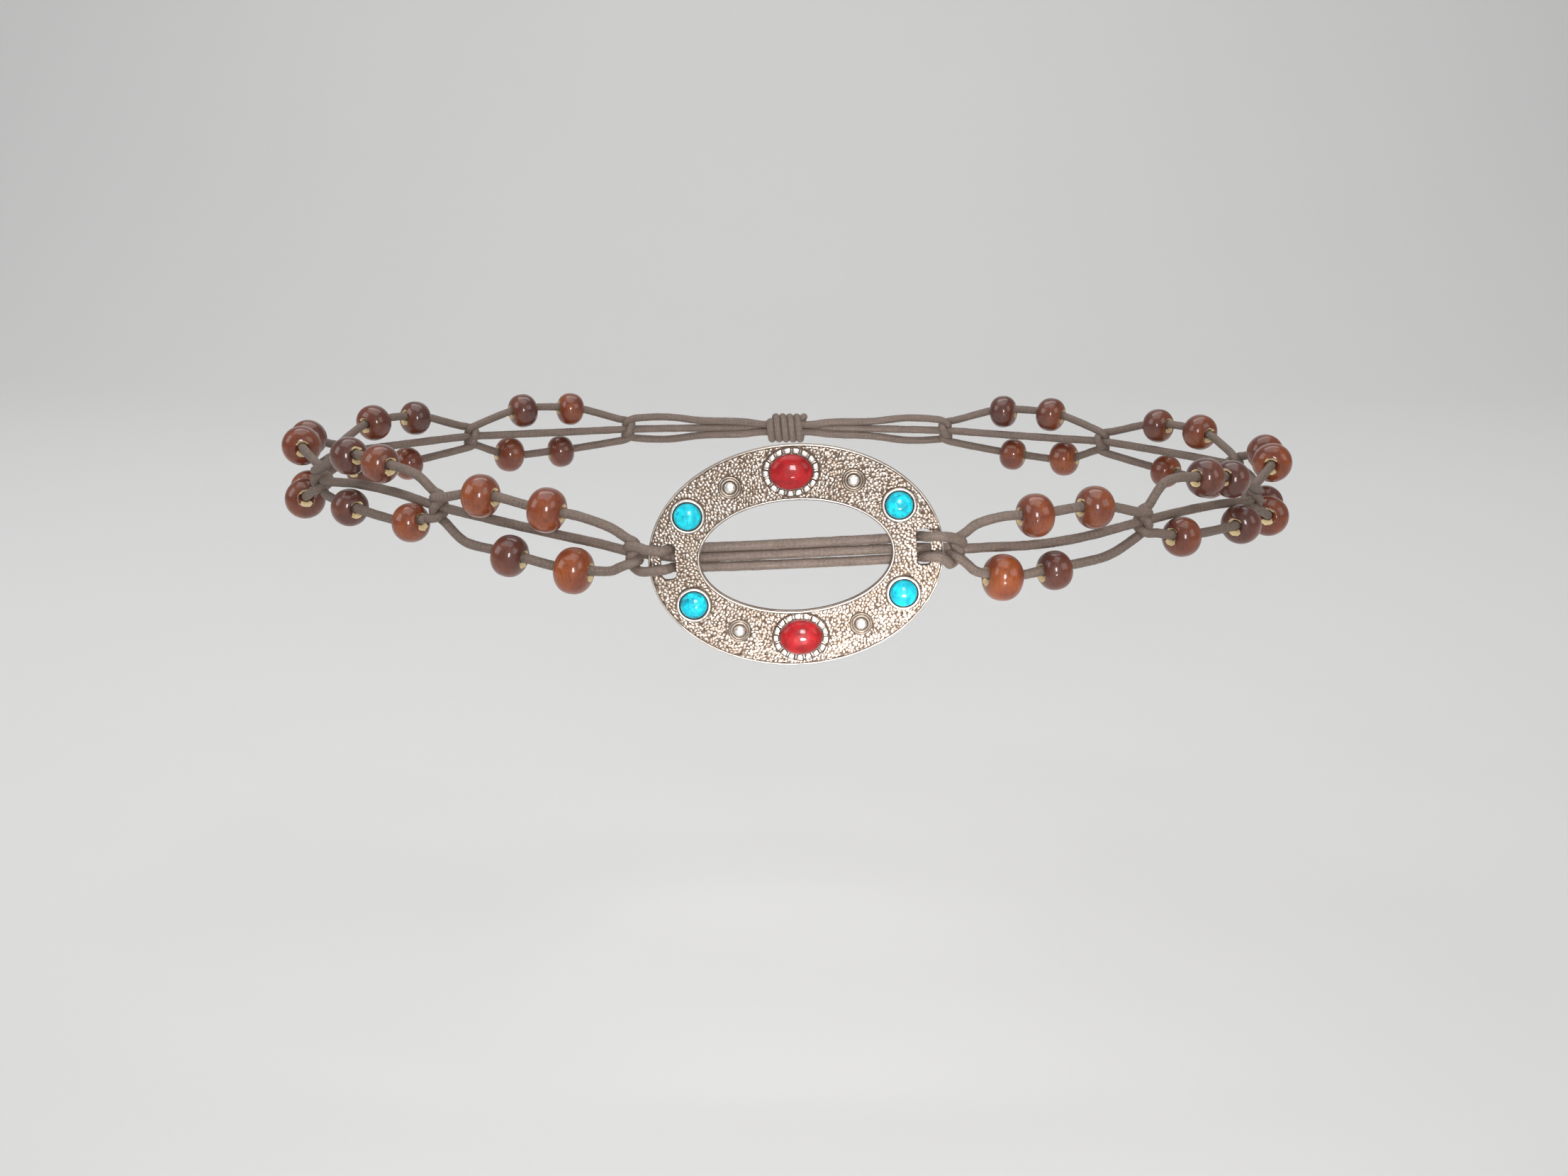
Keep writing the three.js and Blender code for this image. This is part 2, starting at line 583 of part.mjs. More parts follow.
const threadAxis = new THREE.Vector3(0, 1, 0);
for (const bead of beads) {
  const mesh = add(belt, bead.name, beadSolid(bead.d), 'wood');
  mesh.position.copy(bead.centre);
  mesh.quaternion.setFromUnitVectors(threadAxis, bead.axis);
}

const tieMiddle = middleAt('left', HALF_ROUND - 0.01);
const tie = add(belt, 'back_tie', tieSolid(), 'cord');
tie.position.copy(onWaist('left', HALF_ROUND - 0.01, tieMiddle.z, tieMiddle.off));
tie.rotation.z = Math.PI / 2;

export default belt;
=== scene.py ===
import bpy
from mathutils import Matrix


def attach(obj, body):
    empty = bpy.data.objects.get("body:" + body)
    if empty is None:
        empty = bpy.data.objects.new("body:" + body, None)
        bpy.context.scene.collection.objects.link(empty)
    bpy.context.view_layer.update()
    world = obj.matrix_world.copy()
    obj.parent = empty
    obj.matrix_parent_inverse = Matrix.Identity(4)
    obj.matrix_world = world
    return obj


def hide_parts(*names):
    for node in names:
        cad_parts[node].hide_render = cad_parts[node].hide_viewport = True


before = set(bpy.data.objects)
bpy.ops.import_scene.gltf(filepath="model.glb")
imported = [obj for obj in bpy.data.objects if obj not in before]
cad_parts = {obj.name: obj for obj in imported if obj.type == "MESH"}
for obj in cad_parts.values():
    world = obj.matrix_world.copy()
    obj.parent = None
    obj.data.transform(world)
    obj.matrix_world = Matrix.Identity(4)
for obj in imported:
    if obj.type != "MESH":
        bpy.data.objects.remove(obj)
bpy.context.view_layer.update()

import math

import bpy
import numpy as np

MM = 0.001
RNG = np.random.default_rng(7)

# ---------------------------------------------------------------- camera
PITCH = 13.02                    # degrees below the horizon
CAM = (-1.05, -590.87, 98.16)    # mm
LENS = 42.518                    # mm, on a 36 mm wide sensor

cam_data = bpy.data.cameras.new("camera")
cam_data.sensor_fit = "HORIZONTAL"
cam_data.sensor_width = 36.0
cam_data.lens = LENS
cam_data.clip_start, cam_data.clip_end = 0.01, 20.0
cam = bpy.data.objects.new("camera", cam_data)
bpy.context.scene.collection.objects.link(cam)
cam.location = [c * MM for c in CAM]
cam.rotation_euler = (math.radians(90 - PITCH), 0, 0)
bpy.context.scene.camera = cam
bpy.context.scene.view_settings.view_transform = "Standard"

# ---------------------------------------------------------------- sizes, mm, as in the construction
GAP = 0.3
WAIST_A, WAIST_B = 149.0, 98.5
CORE_R = 1.2                     # the pulled-tight core that the beads and the plate clear
CORD_R = 1.34                    # the cord as it looks
PLATE_A, PLATE_B, PLATE_T = 40.0, 30.5, 1.8
OPEN_A, OPEN_B = 26.0, 15.2
SLOT_U, SLOT_V, SLOT_W, SLOT_H, SLOT_CORNER = 34.6, 0.4, 4.0, 10.0, 1.4
PLATE_X, PLATE_Z, PLATE_ROLL = 2.2, -6.1, math.radians(3.5)
PLATE_OFF = PLATE_T / 2 + GAP + CORE_R
PLATE_Y = -(WAIST_B + PLATE_OFF)
FACE_Y = PLATE_Y - PLATE_T / 2   # the plate's front face
BEAD_LONG = 0.78
KNOT_LIFT, MID_REST, SHOULDER_OFF = 2.9, 0.4, 4.4
TIE_LONG, TIE_SPREAD = 14.0, 2.75

# ---------------------------------------------------------------- tables, mm
KNOT_SQUEEZE = 0.77              # how far a knot's loops are drawn in towards the middle cord
RING_KNOT_SQUEEZE = {"left": 0.80, "right": 0.72}
KNOTS = {  # along, z, lean, bow
    "left": [(41.2, -5.75, 9, 0), (100.6, 3.0, 7, -0.3), (157.5, 4.0, 0, 1.7),
             (216, 2.8, -1.5, 0), (275, 1.6, -1.5, 0), (334, 0.5, -0.5, 0)],
    "right": [(44.8, -4.7, -5, 0), (103.2, -1.5, 6, -2.5), (157.5, -2.0, -1, 0.9),
              (216, -1.2, 0.5, 0), (275, -0.3, 0.5, 0), (334, 0, 0, 0)],
}
# half a knot, from its centre outwards: away, up, off; pulled tight, so the cords press into each other
KNOT_FRONT = [(0, 0, 2.3), (-.35, .91, 2.11), (-.71, 1.67, 1.57), (-.96, 2.25, .81), (-.89, 2.99, .16),
              (-.47, 3.80, -.22), (.27, 4.45, -.35), (1.18, 4.85, -.23), (2.10, 5.19, -.05)]
KNOT_BACK = [(0, 0, -2.3), (-.37, -.90, -2.11), (-.73, -1.66, -1.58), (-1.09, -2.15, -.79), (-1.33, -2.43, .13),
             (-1.25, -2.87, 1.01), (-.79, -3.46, 1.67), (-.01, -3.95, 2.04), (.93, -4.26, 2.10),
             (1.90, -4.50, 2.08), (2.87, -4.73, 2.06)]
# cord heights at the plate: in the opening, behind the slot, in the slot, on the end bar
SLOTS = {
    ("left", "top"): (3.3, 3.7, 3.8, 3.9), ("left", "bottom"): (-2.15, -1.75, -1.6, -1.3),
    ("right", "top"): (2.7, 2.8, 3.2, 3.5), ("right", "bottom"): (-3.1, -3.0, -2.6, -2.1),
}
RING_KNOT = {  # out, up, off
    ("left", "bottom"): [
        (40.46, -1.55, 2.15), (41.34, -1.70, 1.36), (42.13, -1.82, .47), (42.94, -1.92, -.42),
        (43.76, -1.73, -1.25), (44.52, -1.05, -1.87), (44.99, .01, -2.08), (45.06, 1.16, -1.80),
        (44.70, 2.15, -1.25), (44.06, 3.13, -1.03), (43.36, 4.05, -1.28), (43.02, 5.13, -1.64),
        (43.26, 6.28, -1.81), (44.05, 7.14, -2.01), (45.07, 7.75, -2.21), (47.16, 8.86, -2.59),
        (49.30, 9.85, -3.00)],
    ("left", "top"): [
        (40.37, 4.46, 2.04), (41.43, 4.80, 1.59), (42.50, 5.12, 1.14), (43.57, 5.39, .68),
        (44.58, 5.53, .07), (45.24, 5.40, -.91), (45.32, 5.19, -2.07), (44.86, 5.22, -3.16),
        (44.22, 5.10, -4.16), (43.71, 4.48, -5.03), (43.34, 3.47, -5.54), (43.11, 2.31, -5.55),
        (42.98, 1.25, -5.02), (42.89, .54, -4.07), (42.76, .32, -2.91), (42.72, .46, -1.73),
        (43.15, .44, -.62), (44.06, .18, .09), (45.16, -.22, .25), (46.23, -.62, -.11),
        (48.34, -1.26, -1.06), (50.51, -1.67, -1.98)],
    ("left", "middle"): [
        (26, .57, -2.4), (33, 1.05, -2.42), (35.96, 1.47, -2.50), (38.92, 1.95, -2.67), (41.85, 2.52, -2.99),
        (44.75, 2.88, -3.62), (47.49, 3.56, -4.64), (50.19, 4.24, -5.75), (52.89, 4.89, -6.90)],
    ("right", "bottom"): [
        (40.08, -3.26, 2.21), (40.79, -3.99, 1.62), (41.14, -4.68, .70), (41.50, -5.33, -.25),
        (42.11, -5.63, -1.22), (42.92, -5.42, -2.06), (43.72, -4.74, -2.59), (44.30, -3.70, -2.56),
        (44.51, -2.62, -2.12), (44.15, -1.56, -1.70), (43.61, -.50, -1.68), (43.07, .50, -2.04),
        (43.03, 1.61, -2.45), (43.62, 2.59, -2.77), (44.62, 3.19, -2.99), (46.83, 4.03, -3.37),
        (49.10, 4.70, -3.79)],
    ("right", "top"): [
        (40.42, 3.09, 2.09), (41.41, 2.81, 1.46), (42.38, 2.52, .82), (43.34, 2.21, .17),
        (44.29, 1.87, -.47), (45.07, 1.47, -1.28), (45.33, 1.03, -2.35), (44.99, .79, -3.46),
        (44.29, .72, -4.43), (43.57, .42, -5.32), (42.89, -.36, -5.92), (42.34, -1.40, -6.04),
        (41.97, -2.45, -5.61), (41.80, -3.21, -4.72), (41.78, -3.50, -3.57), (41.89, -3.29, -2.40),
        (42.36, -3.27, -1.31), (43.14, -3.64, -.51), (44.07, -4.35, -.30), (44.92, -5.13, -.60),
        (46.59, -6.54, -1.59), (48.43, -7.78, -2.51)],
    ("right", "middle"): [
        (26, -.2, -2.4), (33, -.42, -2.49), (35.98, -.65, -2.69), (38.95, -.89, -3.02), (41.90, -1.15, -3.52),
        (44.69, -1.70, -4.45), (47.41, -2.08, -5.64), (50.12, -2.40, -6.89), (52.85, -2.66, -8.11)],
}
RUNS = {  # side, section, level: along, z, bead diameter (0: a point of the cord), tone (0 orange, 1 plum), hang
    ("left", 1, "upper"): [(56.5, 3.7, 0, 0, 0), (65.2, 5.0, 12.6, .16, .15), (85.2, 7.6, 12.1, .26, .30)],
    ("left", 1, "lower"): [(57.8, -11.4, 13.0, .12, .55), (76.9, -8.7, 11.8, .80, .60), (91.2, -5.9, 0, 0, 0)],
    ("left", 2, "upper"): [(106.9, 11.7, 0, 0, 0), (120.9, 13.5, 11.4, .56, .55), (135.3, 14.2, 11.2, .96, .40)],
    ("left", 2, "lower"): [(108.6, -2.0, 11.3, .26, .75), (136.5, -1.2, 11.1, .90, .50)],
    ("right", 1, "upper"): [(57, 3.4, 0, 0, 0), (67.2, 3.4, 12.2, .30, .55), (85.3, 4.4, 12.1, .42, .25)],
    ("right", 1, "lower"): [(58.1, -13.3, 13.0, .04, .75), (73.8, -12.6, 11.1, .78, .65), (90.5, -9.8, 0, 0, 0)],
    ("right", 2, "upper"): [(109.4, 9.3, 0, 0, 0), (125.7, 8.9, 11.5, .84, .50), (139, 6.9, 11.1, 1.0, .40)],
    ("right", 2, "lower"): [(115.9, -7.0, 11.6, .56, .60), (143.7, -7.1, 11.9, .96, .50)],
}
BACK_RUN = {  # after the knot, rise over the middle cord, bead diameter
    "upper": [(20.5, 7.9, 12.2), (38, 7.9, 11.7)],
    "lower": [(15, -7.9, 12.5), (34, -7.7, 11.5)],
}
STONES = [  # name, kind, u, v, rx, ry, high
    ("red_stone_top", "red", 0, 23.1, 6, 5, 3.2),
    ("red_stone_bottom", "red", 0, -22.4, 6, 5, 3.2),
    ("turquoise_top_left", "turquoise", -28.5, 12.7, 3.9, 3.9, 2.4),
    ("turquoise_top_right", "turquoise", 28.5, 12.4, 3.9, 3.9, 2.4),
    ("turquoise_bottom_left", "turquoise", -28.5, -11.8, 3.9, 3.9, 2.4),
    ("turquoise_bottom_right", "turquoise", 28.5, -11.9, 3.9, 3.9, 2.4),
]
STUDS = [(-16.6, 19.8), (16.6, 19.8), (-16.6, -19.8), (16.6, -19.8)]

# ---------------------------------------------------------------- the waist oval
_n = 7200
_mid = np.pi * (np.arange(_n) + 0.5) / _n
_speed = np.hypot(WAIST_A * np.cos(_mid), WAIST_B * np.sin(_mid)) * np.pi / _n
OVAL_ALONG = np.concatenate([[0], np.cumsum(_speed)])
OVAL_ANGLE = np.linspace(0, np.pi, _n + 1)
HALF_ROUND = OVAL_ALONG[-1]


def sign(side):
    return -1.0 if side == "left" else 1.0


def on_waist(side, along, z, off):
    a = np.interp(along, OVAL_ALONG, OVAL_ANGLE)
    nx, ny = math.sin(a) / WAIST_A, -math.cos(a) / WAIST_B
    n = math.hypot(nx, ny)
    return np.array([sign(side) * (WAIST_A * math.sin(a) + off * nx / n),
                     -WAIST_B * math.cos(a) + off * ny / n, z])


def on_plate(side, out, up, off):
    u = sign(side) * out
    c, s = math.cos(PLATE_ROLL), math.sin(PLATE_ROLL)
    return np.array([PLATE_X + u * c - up * s, PLATE_Y - off, PLATE_Z + u * s + up * c])


def plate_world(uvw):
    """Points in the plate's frame (u right, v up, w out of its front face) to mm in the part's frame."""
    uvw = np.asarray(uvw, float)
    c, s = math.cos(PLATE_ROLL), math.sin(PLATE_ROLL)
    u, v, w = uvw[:, 0], uvw[:, 1], uvw[:, 2]
    return np.stack([PLATE_X + u * c - v * s, FACE_Y - w, PLATE_Z + u * s + v * c], 1)


def middle_at(side, along):
    knots = KNOTS[side]
    last = knots[-1]
    if along >= last[0]:
        k = (along - last[0]) / (HALF_ROUND - last[0])
        return last[1] * (1 - k), KNOT_LIFT + (2 - KNOT_LIFT) * k
    i = max(1, next(n for n, k in enumerate(knots) if k[0] >= along))
    a, b = knots[i - 1], knots[i]
    k = (along - a[0]) / (b[0] - a[0])
    arch = 4 * k * (1 - k)
    return a[1] + (b[1] - a[1]) * k + b[3] * arch, KNOT_LIFT - (KNOT_LIFT - MID_REST) * arch


def knot_point(side, knot, row, half):
    lean = math.radians(knot[2])
    away, up = half * row[0], half * row[1] * KNOT_SQUEEZE
    return on_waist(side, knot[0] + away * math.cos(lean) - up * math.sin(lean),
                    knot[1] + away * math.sin(lean) + up * math.cos(lean), KNOT_LIFT + row[2])


def through_knot(side, knot, rows):
    return ([knot_point(side, knot, r, -1) for r in reversed(rows[1:])]
            + [knot_point(side, knot, r, 1) for r in rows])


def bead_off(side, along, z, d):
    r = d / 2
    mz, moff = middle_at(side, along)
    need = r + CORE_R + GAP + 0.1
    rise = z - mz
    over = math.sqrt(need * need - rise * rise) if need > abs(rise) else 0
    return max(r - CORE_R, moff + over)


def run_rows(side, section, level):
    if section <= 2:
        return RUNS[(side, section, level)]
    knot = KNOTS[side][section - 1]
    rows = []
    for n, (after, rise, d) in enumerate(BACK_RUN[level]):
        along = knot[0] + after
        tone = (0.17 + 0.37 * n + 0.29 * section + (0.41 if level == "lower" else 0) + (0.23 if side == "left" else 0)) % 1.0
        rows.append((along, middle_at(side, along)[0] + rise, d, 0.15 + 0.75 * tone, 0.3 + 0.35 * tone))
    return rows


BEADS = []


def along_run(side, section, level, start, end):
    """The cord's points in one run, and the beads that it threads. A bead hangs on the cord, so the
    cord lies in the upper part of its bore."""
    rows = run_rows(side, section, level)
    centres = [on_waist(side, a, z, bead_off(side, a, z, d) if d else SHOULDER_OFF) for a, z, d, *_ in rows]
    chain = [start, *centres, end]
    points, number = [], 0
    unit = lambda v: v / np.linalg.norm(v)
    for i, (a, z, d, tone, hang) in enumerate(rows):
        c = centres[i]
        if not d:
            points.append(c)
            continue
        number += 1
        axis = unit(unit(c - chain[i]) + unit(chain[i + 2] - c))
        half = d * BEAD_LONG / 2
        BEADS.append(dict(name=f"bead_{side}_{section}_{level}_{number}", centre=c, axis=axis * sign(side), d=d, tone=tone, side=side, hang=hang))
        sit = np.array([0, 0, hang])
        points += [c - axis * half * 0.9 + sit, c + sit, c + axis * half * 0.9 + sit]
    return points


def ring_knot_rows(side, which):
    """A ring knot's rows with its loops drawn in towards the middle cord. The first rows lie on the plate
    and the last one starts the run, so they stay."""
    rows, middle = RING_KNOT[(side, which)], RING_KNOT[(side, "middle")]
    out = []
    for i, (away, up, off) in enumerate(rows):
        at = np.interp(away, [m[0] for m in middle], [m[1] for m in middle])
        k = np.interp(i, [2, 6], [0, 1]) * np.interp(i, [len(rows) - 3, len(rows) - 1], [1, 0])
        out.append((away, at + (up - at) * (1 - k * (1 - RING_KNOT_SQUEEZE[side])), off))
    return out


def outer_cord(side, which):
    opened, back, slot, bar = SLOTS[(side, which)]
    e_in, e_out = SLOT_U - SLOT_W / 2, SLOT_U + SLOT_W / 2
    r, half, h, k = CORE_R + GAP, PLATE_T / 2, PLATE_OFF, math.sqrt(0.5)
    mix = lambda t: back + (bar - back) * t
    rows = [(OPEN_A, opened, -h), (e_in - 1.4, back, -h), (e_in, back, -h), (e_in + r * k, mix(.25), -half - r * k),
            (e_in + r, mix(.4), -half), (SLOT_U, slot, 0), (e_out - r, mix(.65), half),
            (e_out - r * k, mix(.85), half + r * k), (e_out, bar, h), (e_out + 1.5, bar, h),
            *ring_knot_rows(side, which)]
    points = [on_plate(side, *row) for row in rows]
    level = "upper" if which == "bottom" else "lower"
    knots = KNOTS[side]
    for n in range(1, len(knots)):
        knot = through_knot(side, knots[n], KNOT_BACK if level == "upper" else KNOT_FRONT)
        points += [*along_run(side, n, level, points[-1], knot[0]), *knot]
        level = "lower" if level == "upper" else "upper"
    rise = 1 if level == "upper" else -1
    end = HALF_ROUND - TIE_LONG / 2 - GAP
    for along, up, deep in ((knots[5][0] + 14, 4.2, 1), (end - 24, TIE_SPREAD, 0), (end - 9, 2.3, -0.2),
                            (end - 2, 1.45, -0.7), (end + 3, 1.35, -0.8), (HALF_ROUND - 0.8, 1.35, -0.8)):
        z, off = middle_at(side, along)
        points.append(on_waist(side, along, z + rise * up, off + deep))
    return points


def middle_cord(side):
    points = [on_plate(side, *row) for row in RING_KNOT[(side, "middle")]]
    knots = KNOTS[side]
    for n in range(1, len(knots)):
        a, b = knots[n - 1], knots[n]
        for k in ((0.42, 0.66) if n == 1 else (0.3, 0.65)):
            along = a[0] + k * (b[0] - a[0])
            points.append(on_waist(side, along, *middle_at(side, along)))
        points += [knot_point(side, b, (away, 0, 0), 1) for away in (-3.4, 0, 3.4)]
    end = HALF_ROUND - TIE_LONG / 2 - GAP
    for along, deep in ((knots[5][0] + 26, 0), (end - 9, 0.4), (end - 2, 1.35), (end + 3, 1.55), (HALF_ROUND - 0.8, 1.55)):
        z, off = middle_at(side, along)
        points.append(on_waist(side, along, z, off + deep))
    return points


# ---------------------------------------------------------------- mesh tools
def waves(seed, count, scale):
    """A smooth repeatable bump function of 3-D points: a sum of waves about `scale` mm long, about -1 to 1."""
    g = np.random.default_rng(seed)
    k = g.normal(size=(count, 3))
    k *= (2 * np.pi / scale) * g.uniform(0.6, 1.5, (count, 1)) / np.linalg.norm(k, axis=1, keepdims=True)
    ph = g.uniform(0, 2 * np.pi, count)

    def f(p):
        return np.sin(np.asarray(p) @ k.T + ph).sum(1) * (1.3 / math.sqrt(count))
    return f


class Build:
    """Collects closed shells into one mesh, with a value at each vertex for each named layer."""

    def __init__(self, *layers):
        self.v, self.t, self.q, self.n = [], [], [], 0
        self.uv_t, self.uv_q = [], []
        self.layers = {k: [] for k in layers}

    def add(self, verts, tris=None, quads=None, uv_tris=None, uv_quads=None, **values):
        verts = np.asarray(verts, float)
        if tris is not None and len(tris):
            self.t.append(np.asarray(tris) + self.n)
            self.uv_t.append(np.zeros((len(tris), 3, 2)) if uv_tris is None else uv_tris)
        if quads is not None and len(quads):
            self.q.append(np.asarray(quads) + self.n)
            self.uv_q.append(np.zeros((len(quads), 4, 2)) if uv_quads is None else uv_quads)
        for k in self.layers:
            self.layers[k].append(np.broadcast_to(np.asarray(values.get(k, 0.0), float), (len(verts),)))
        self.v.append(verts)
        self.n += len(verts)

    def object(self, name, material, crease=None, uv=False):
        verts = np.concatenate(self.v) * MM
        t = np.concatenate(self.t) if self.t else np.zeros((0, 3), int)
        q = np.concatenate(self.q) if self.q else np.zeros((0, 4), int)
        mesh = bpy.data.meshes.new(name)
        mesh.vertices.add(len(verts))
        mesh.vertices.foreach_set("co", verts.astype(np.float32).ravel())
        loops = np.concatenate([t.ravel(), q.ravel()]).astype(np.int32)
        sizes = np.concatenate([np.full(len(t), 3), np.full(len(q), 4)])
        starts = np.concatenate([[0], np.cumsum(sizes)[:-1]]).astype(np.int32)
        mesh.loops.add(len(loops))
        mesh.loops.foreach_set("vertex_index", loops)
        mesh.polygons.add(len(sizes))
        mesh.polygons.foreach_set("loop_start", starts)
        mesh.update(calc_edges=True)
        mesh.polygons.foreach_set("use_smooth", np.ones(len(sizes), bool))
        if uv:
            layer = mesh.uv_layers.new(name="UVMap")
            flat = [np.concatenate(x).reshape(-1, 2) for x in (self.uv_t, self.uv_q) if x]
            layer.data.foreach_set("uv", np.concatenate(flat).astype(np.float32).ravel())
        for k, parts in self.layers.items():
            attr = mesh.attributes.new(k, "FLOAT", "POINT")
            attr.data.foreach_set("value", np.concatenate(parts).astype(np.float32))
        mesh.validate()
        if crease is not None:
            mesh.set_sharp_from_angle(angle=math.radians(crease))
        mesh.materials.append(material)
        obj = bpy.data.objects.new(name, mesh)
        bpy.context.scene.collection.objects.link(obj)
        return obj


def grid_quads(rows, cols, wrap_cols=True, wrap_rows=False):
    """Quads of a rows by cols grid of vertices, closed round its columns and, if asked, its rows."""
    r = np.arange(rows if wrap_rows else rows - 1)
    c = np.arange(cols if wrap_cols else cols - 1)
    R, C = np.meshgrid(r, c, indexing="ij")
    R2, C2 = (R + 1) % rows, (C + 1) % cols
    return np.stack([R * cols + C, R * cols + C2, R2 * cols + C2, R2 * cols + C], -1).reshape(-1, 4)


def place(local, centre, axis_z, axis_x=(1, 0, 0)):
    """Local points with Z along axis_z, moved to centre."""
    z = np.asarray(axis_z, float); z = z / np.linalg.norm(z)
    x = np.asarray(axis_x, float); x = x - z * (x @ z); x = x / np.linalg.norm(x)
    y = np.cross(z, x)
    return np.asarray(centre) + local[:, :1] * x + local[:, 1:2] * y + local[:, 2:3] * z


def lathe(profile, around, sx=1.0, sy=1.0):
    """A closed shell turned about Z. profile is (radius, height) from the axis back to the axis,
    counter-clockwise; an ellipse where sx and sy differ."""
    p = np.asarray(profile, float)
    inner = p[1:-1]
    a = np.linspace(0, 2 * np.pi, around, endpoint=False)
    ring = np.stack([inner[:, :1] * np.cos(a) * sx, inner[:, :1] * np.sin(a) * sy,
                     np.repeat(inner[:, 1:], around, 1)], -1).reshape(-1, 3)
    verts = np.concatenate([ring, [[0, 0, p[0, 1]], [0, 0, p[-1, 1]]]])
    n = len(inner)
    quads = grid_quads(n, around)
    b, t = n * around, n * around + 1
    i = np.arange(around); j = (i + 1) % around
    low = np.stack([np.full(around, b), j, i], 1)
    top = np.stack([np.full(around, t), (n - 1) * around + i, (n - 1) * around + j], 1)
    return verts, np.concatenate([low, top]), quads


def ring_shell(profile, around, sx=0.0, sy=0.0):
    """A closed ring turned about Z. profile is a closed loop of (radius, height), counter-clockwise;
    sx and sy are added to the radius along X and Y."""
    p = np.asarray(profile, float)
    a = np.linspace(0, 2 * np.pi, around, endpoint=False)
    verts = np.stack([(p[:, :1] + sx) * np.cos(a), (p[:, :1] + sy) * np.sin(a),
                      np.repeat(p[:, 1:], around, 1)], -1).reshape(-1, 3)
    return verts, grid_quads(len(p), around, True, True)


def smooth_path(points, step):
    """Centripetal Catmull-Rom curve through the points, resampled at an even step."""
    P = np.asarray(points, float)
    P = np.concatenate([[2 * P[0] - P[1]], P, [2 * P[-1] - P[-2]]])
    out = []
    for i in range(1, len(P) - 2):
        p0, p1, p2, p3 = P[i - 1:i + 3]
        d = [max(np.linalg.norm(b - a), 1e-4) ** 0.5 for a, b in ((p0, p1), (p1, p2), (p2, p3))]
        t0 = 0.0; t1 = d[0]; t2 = t1 + d[1]; t3 = t2 + d[2]
        n = max(6, int(np.linalg.norm(p2 - p1) / 0.12))
        t = np.linspace(t1, t2, n, endpoint=False)[:, None]
        a1 = (t1 - t) / (t1 - t0) * p0 + (t - t0) / (t1 - t0) * p1
        a2 = (t2 - t) / (t2 - t1) * p1 + (t - t1) / (t2 - t1) * p2
        a3 = (t3 - t) / (t3 - t2) * p2 + (t - t2) / (t3 - t2) * p3
        b1 = (t2 - t) / (t2 - t0) * a1 + (t - t0) / (t2 - t0) * a2
        b2 = (t3 - t) / (t3 - t1) * a2 + (t - t1) / (t3 - t1) * a3
        out.append((t2 - t) / (t2 - t1) * b1 + (t - t1) / (t2 - t1) * b2)
    C = np.concatenate([*out, P[-2:-1]])
    for _ in range(2):  # takes the last kinks out at the joins of the rows
        C[2:-2] = (C[:-4] + 2 * C[1:-3] + 2 * C[2:-2] + 2 * C[3:-1] + C[4:]) / 8
    s = np.concatenate([[0], np.cumsum(np.linalg.norm(np.diff(C, axis=0), axis=1))])
    n = int(round(s[-1] / step))
    u = np.linspace(0, s[-1], n + 1)
    return np.stack([np.interp(u, s, C[:, i]) for i in range(3)], 1), u


def frames(C):
    """Unit tangents and two normals carried along the path without twisting."""
    T = np.gradient(C, axis=0)
    T /= np.linalg.norm(T, axis=1, keepdims=True)
    N = np.zeros_like(C)
    n = np.cross(T[0], [0, 0, 1.0]); n /= np.linalg.norm(n)
    for i in range(len(C)):
        n = n - T[i] * (n @ T[i]); n /= np.linalg.norm(n)
        N[i] = n
    return T, N, np.cross(T, N)


BRAID_LONG = 2.9                 # mm that a sheath strand climbs in a quarter turn
lump = waves(11, 24, 7.0)
fray = waves(12, 40, 1.1)


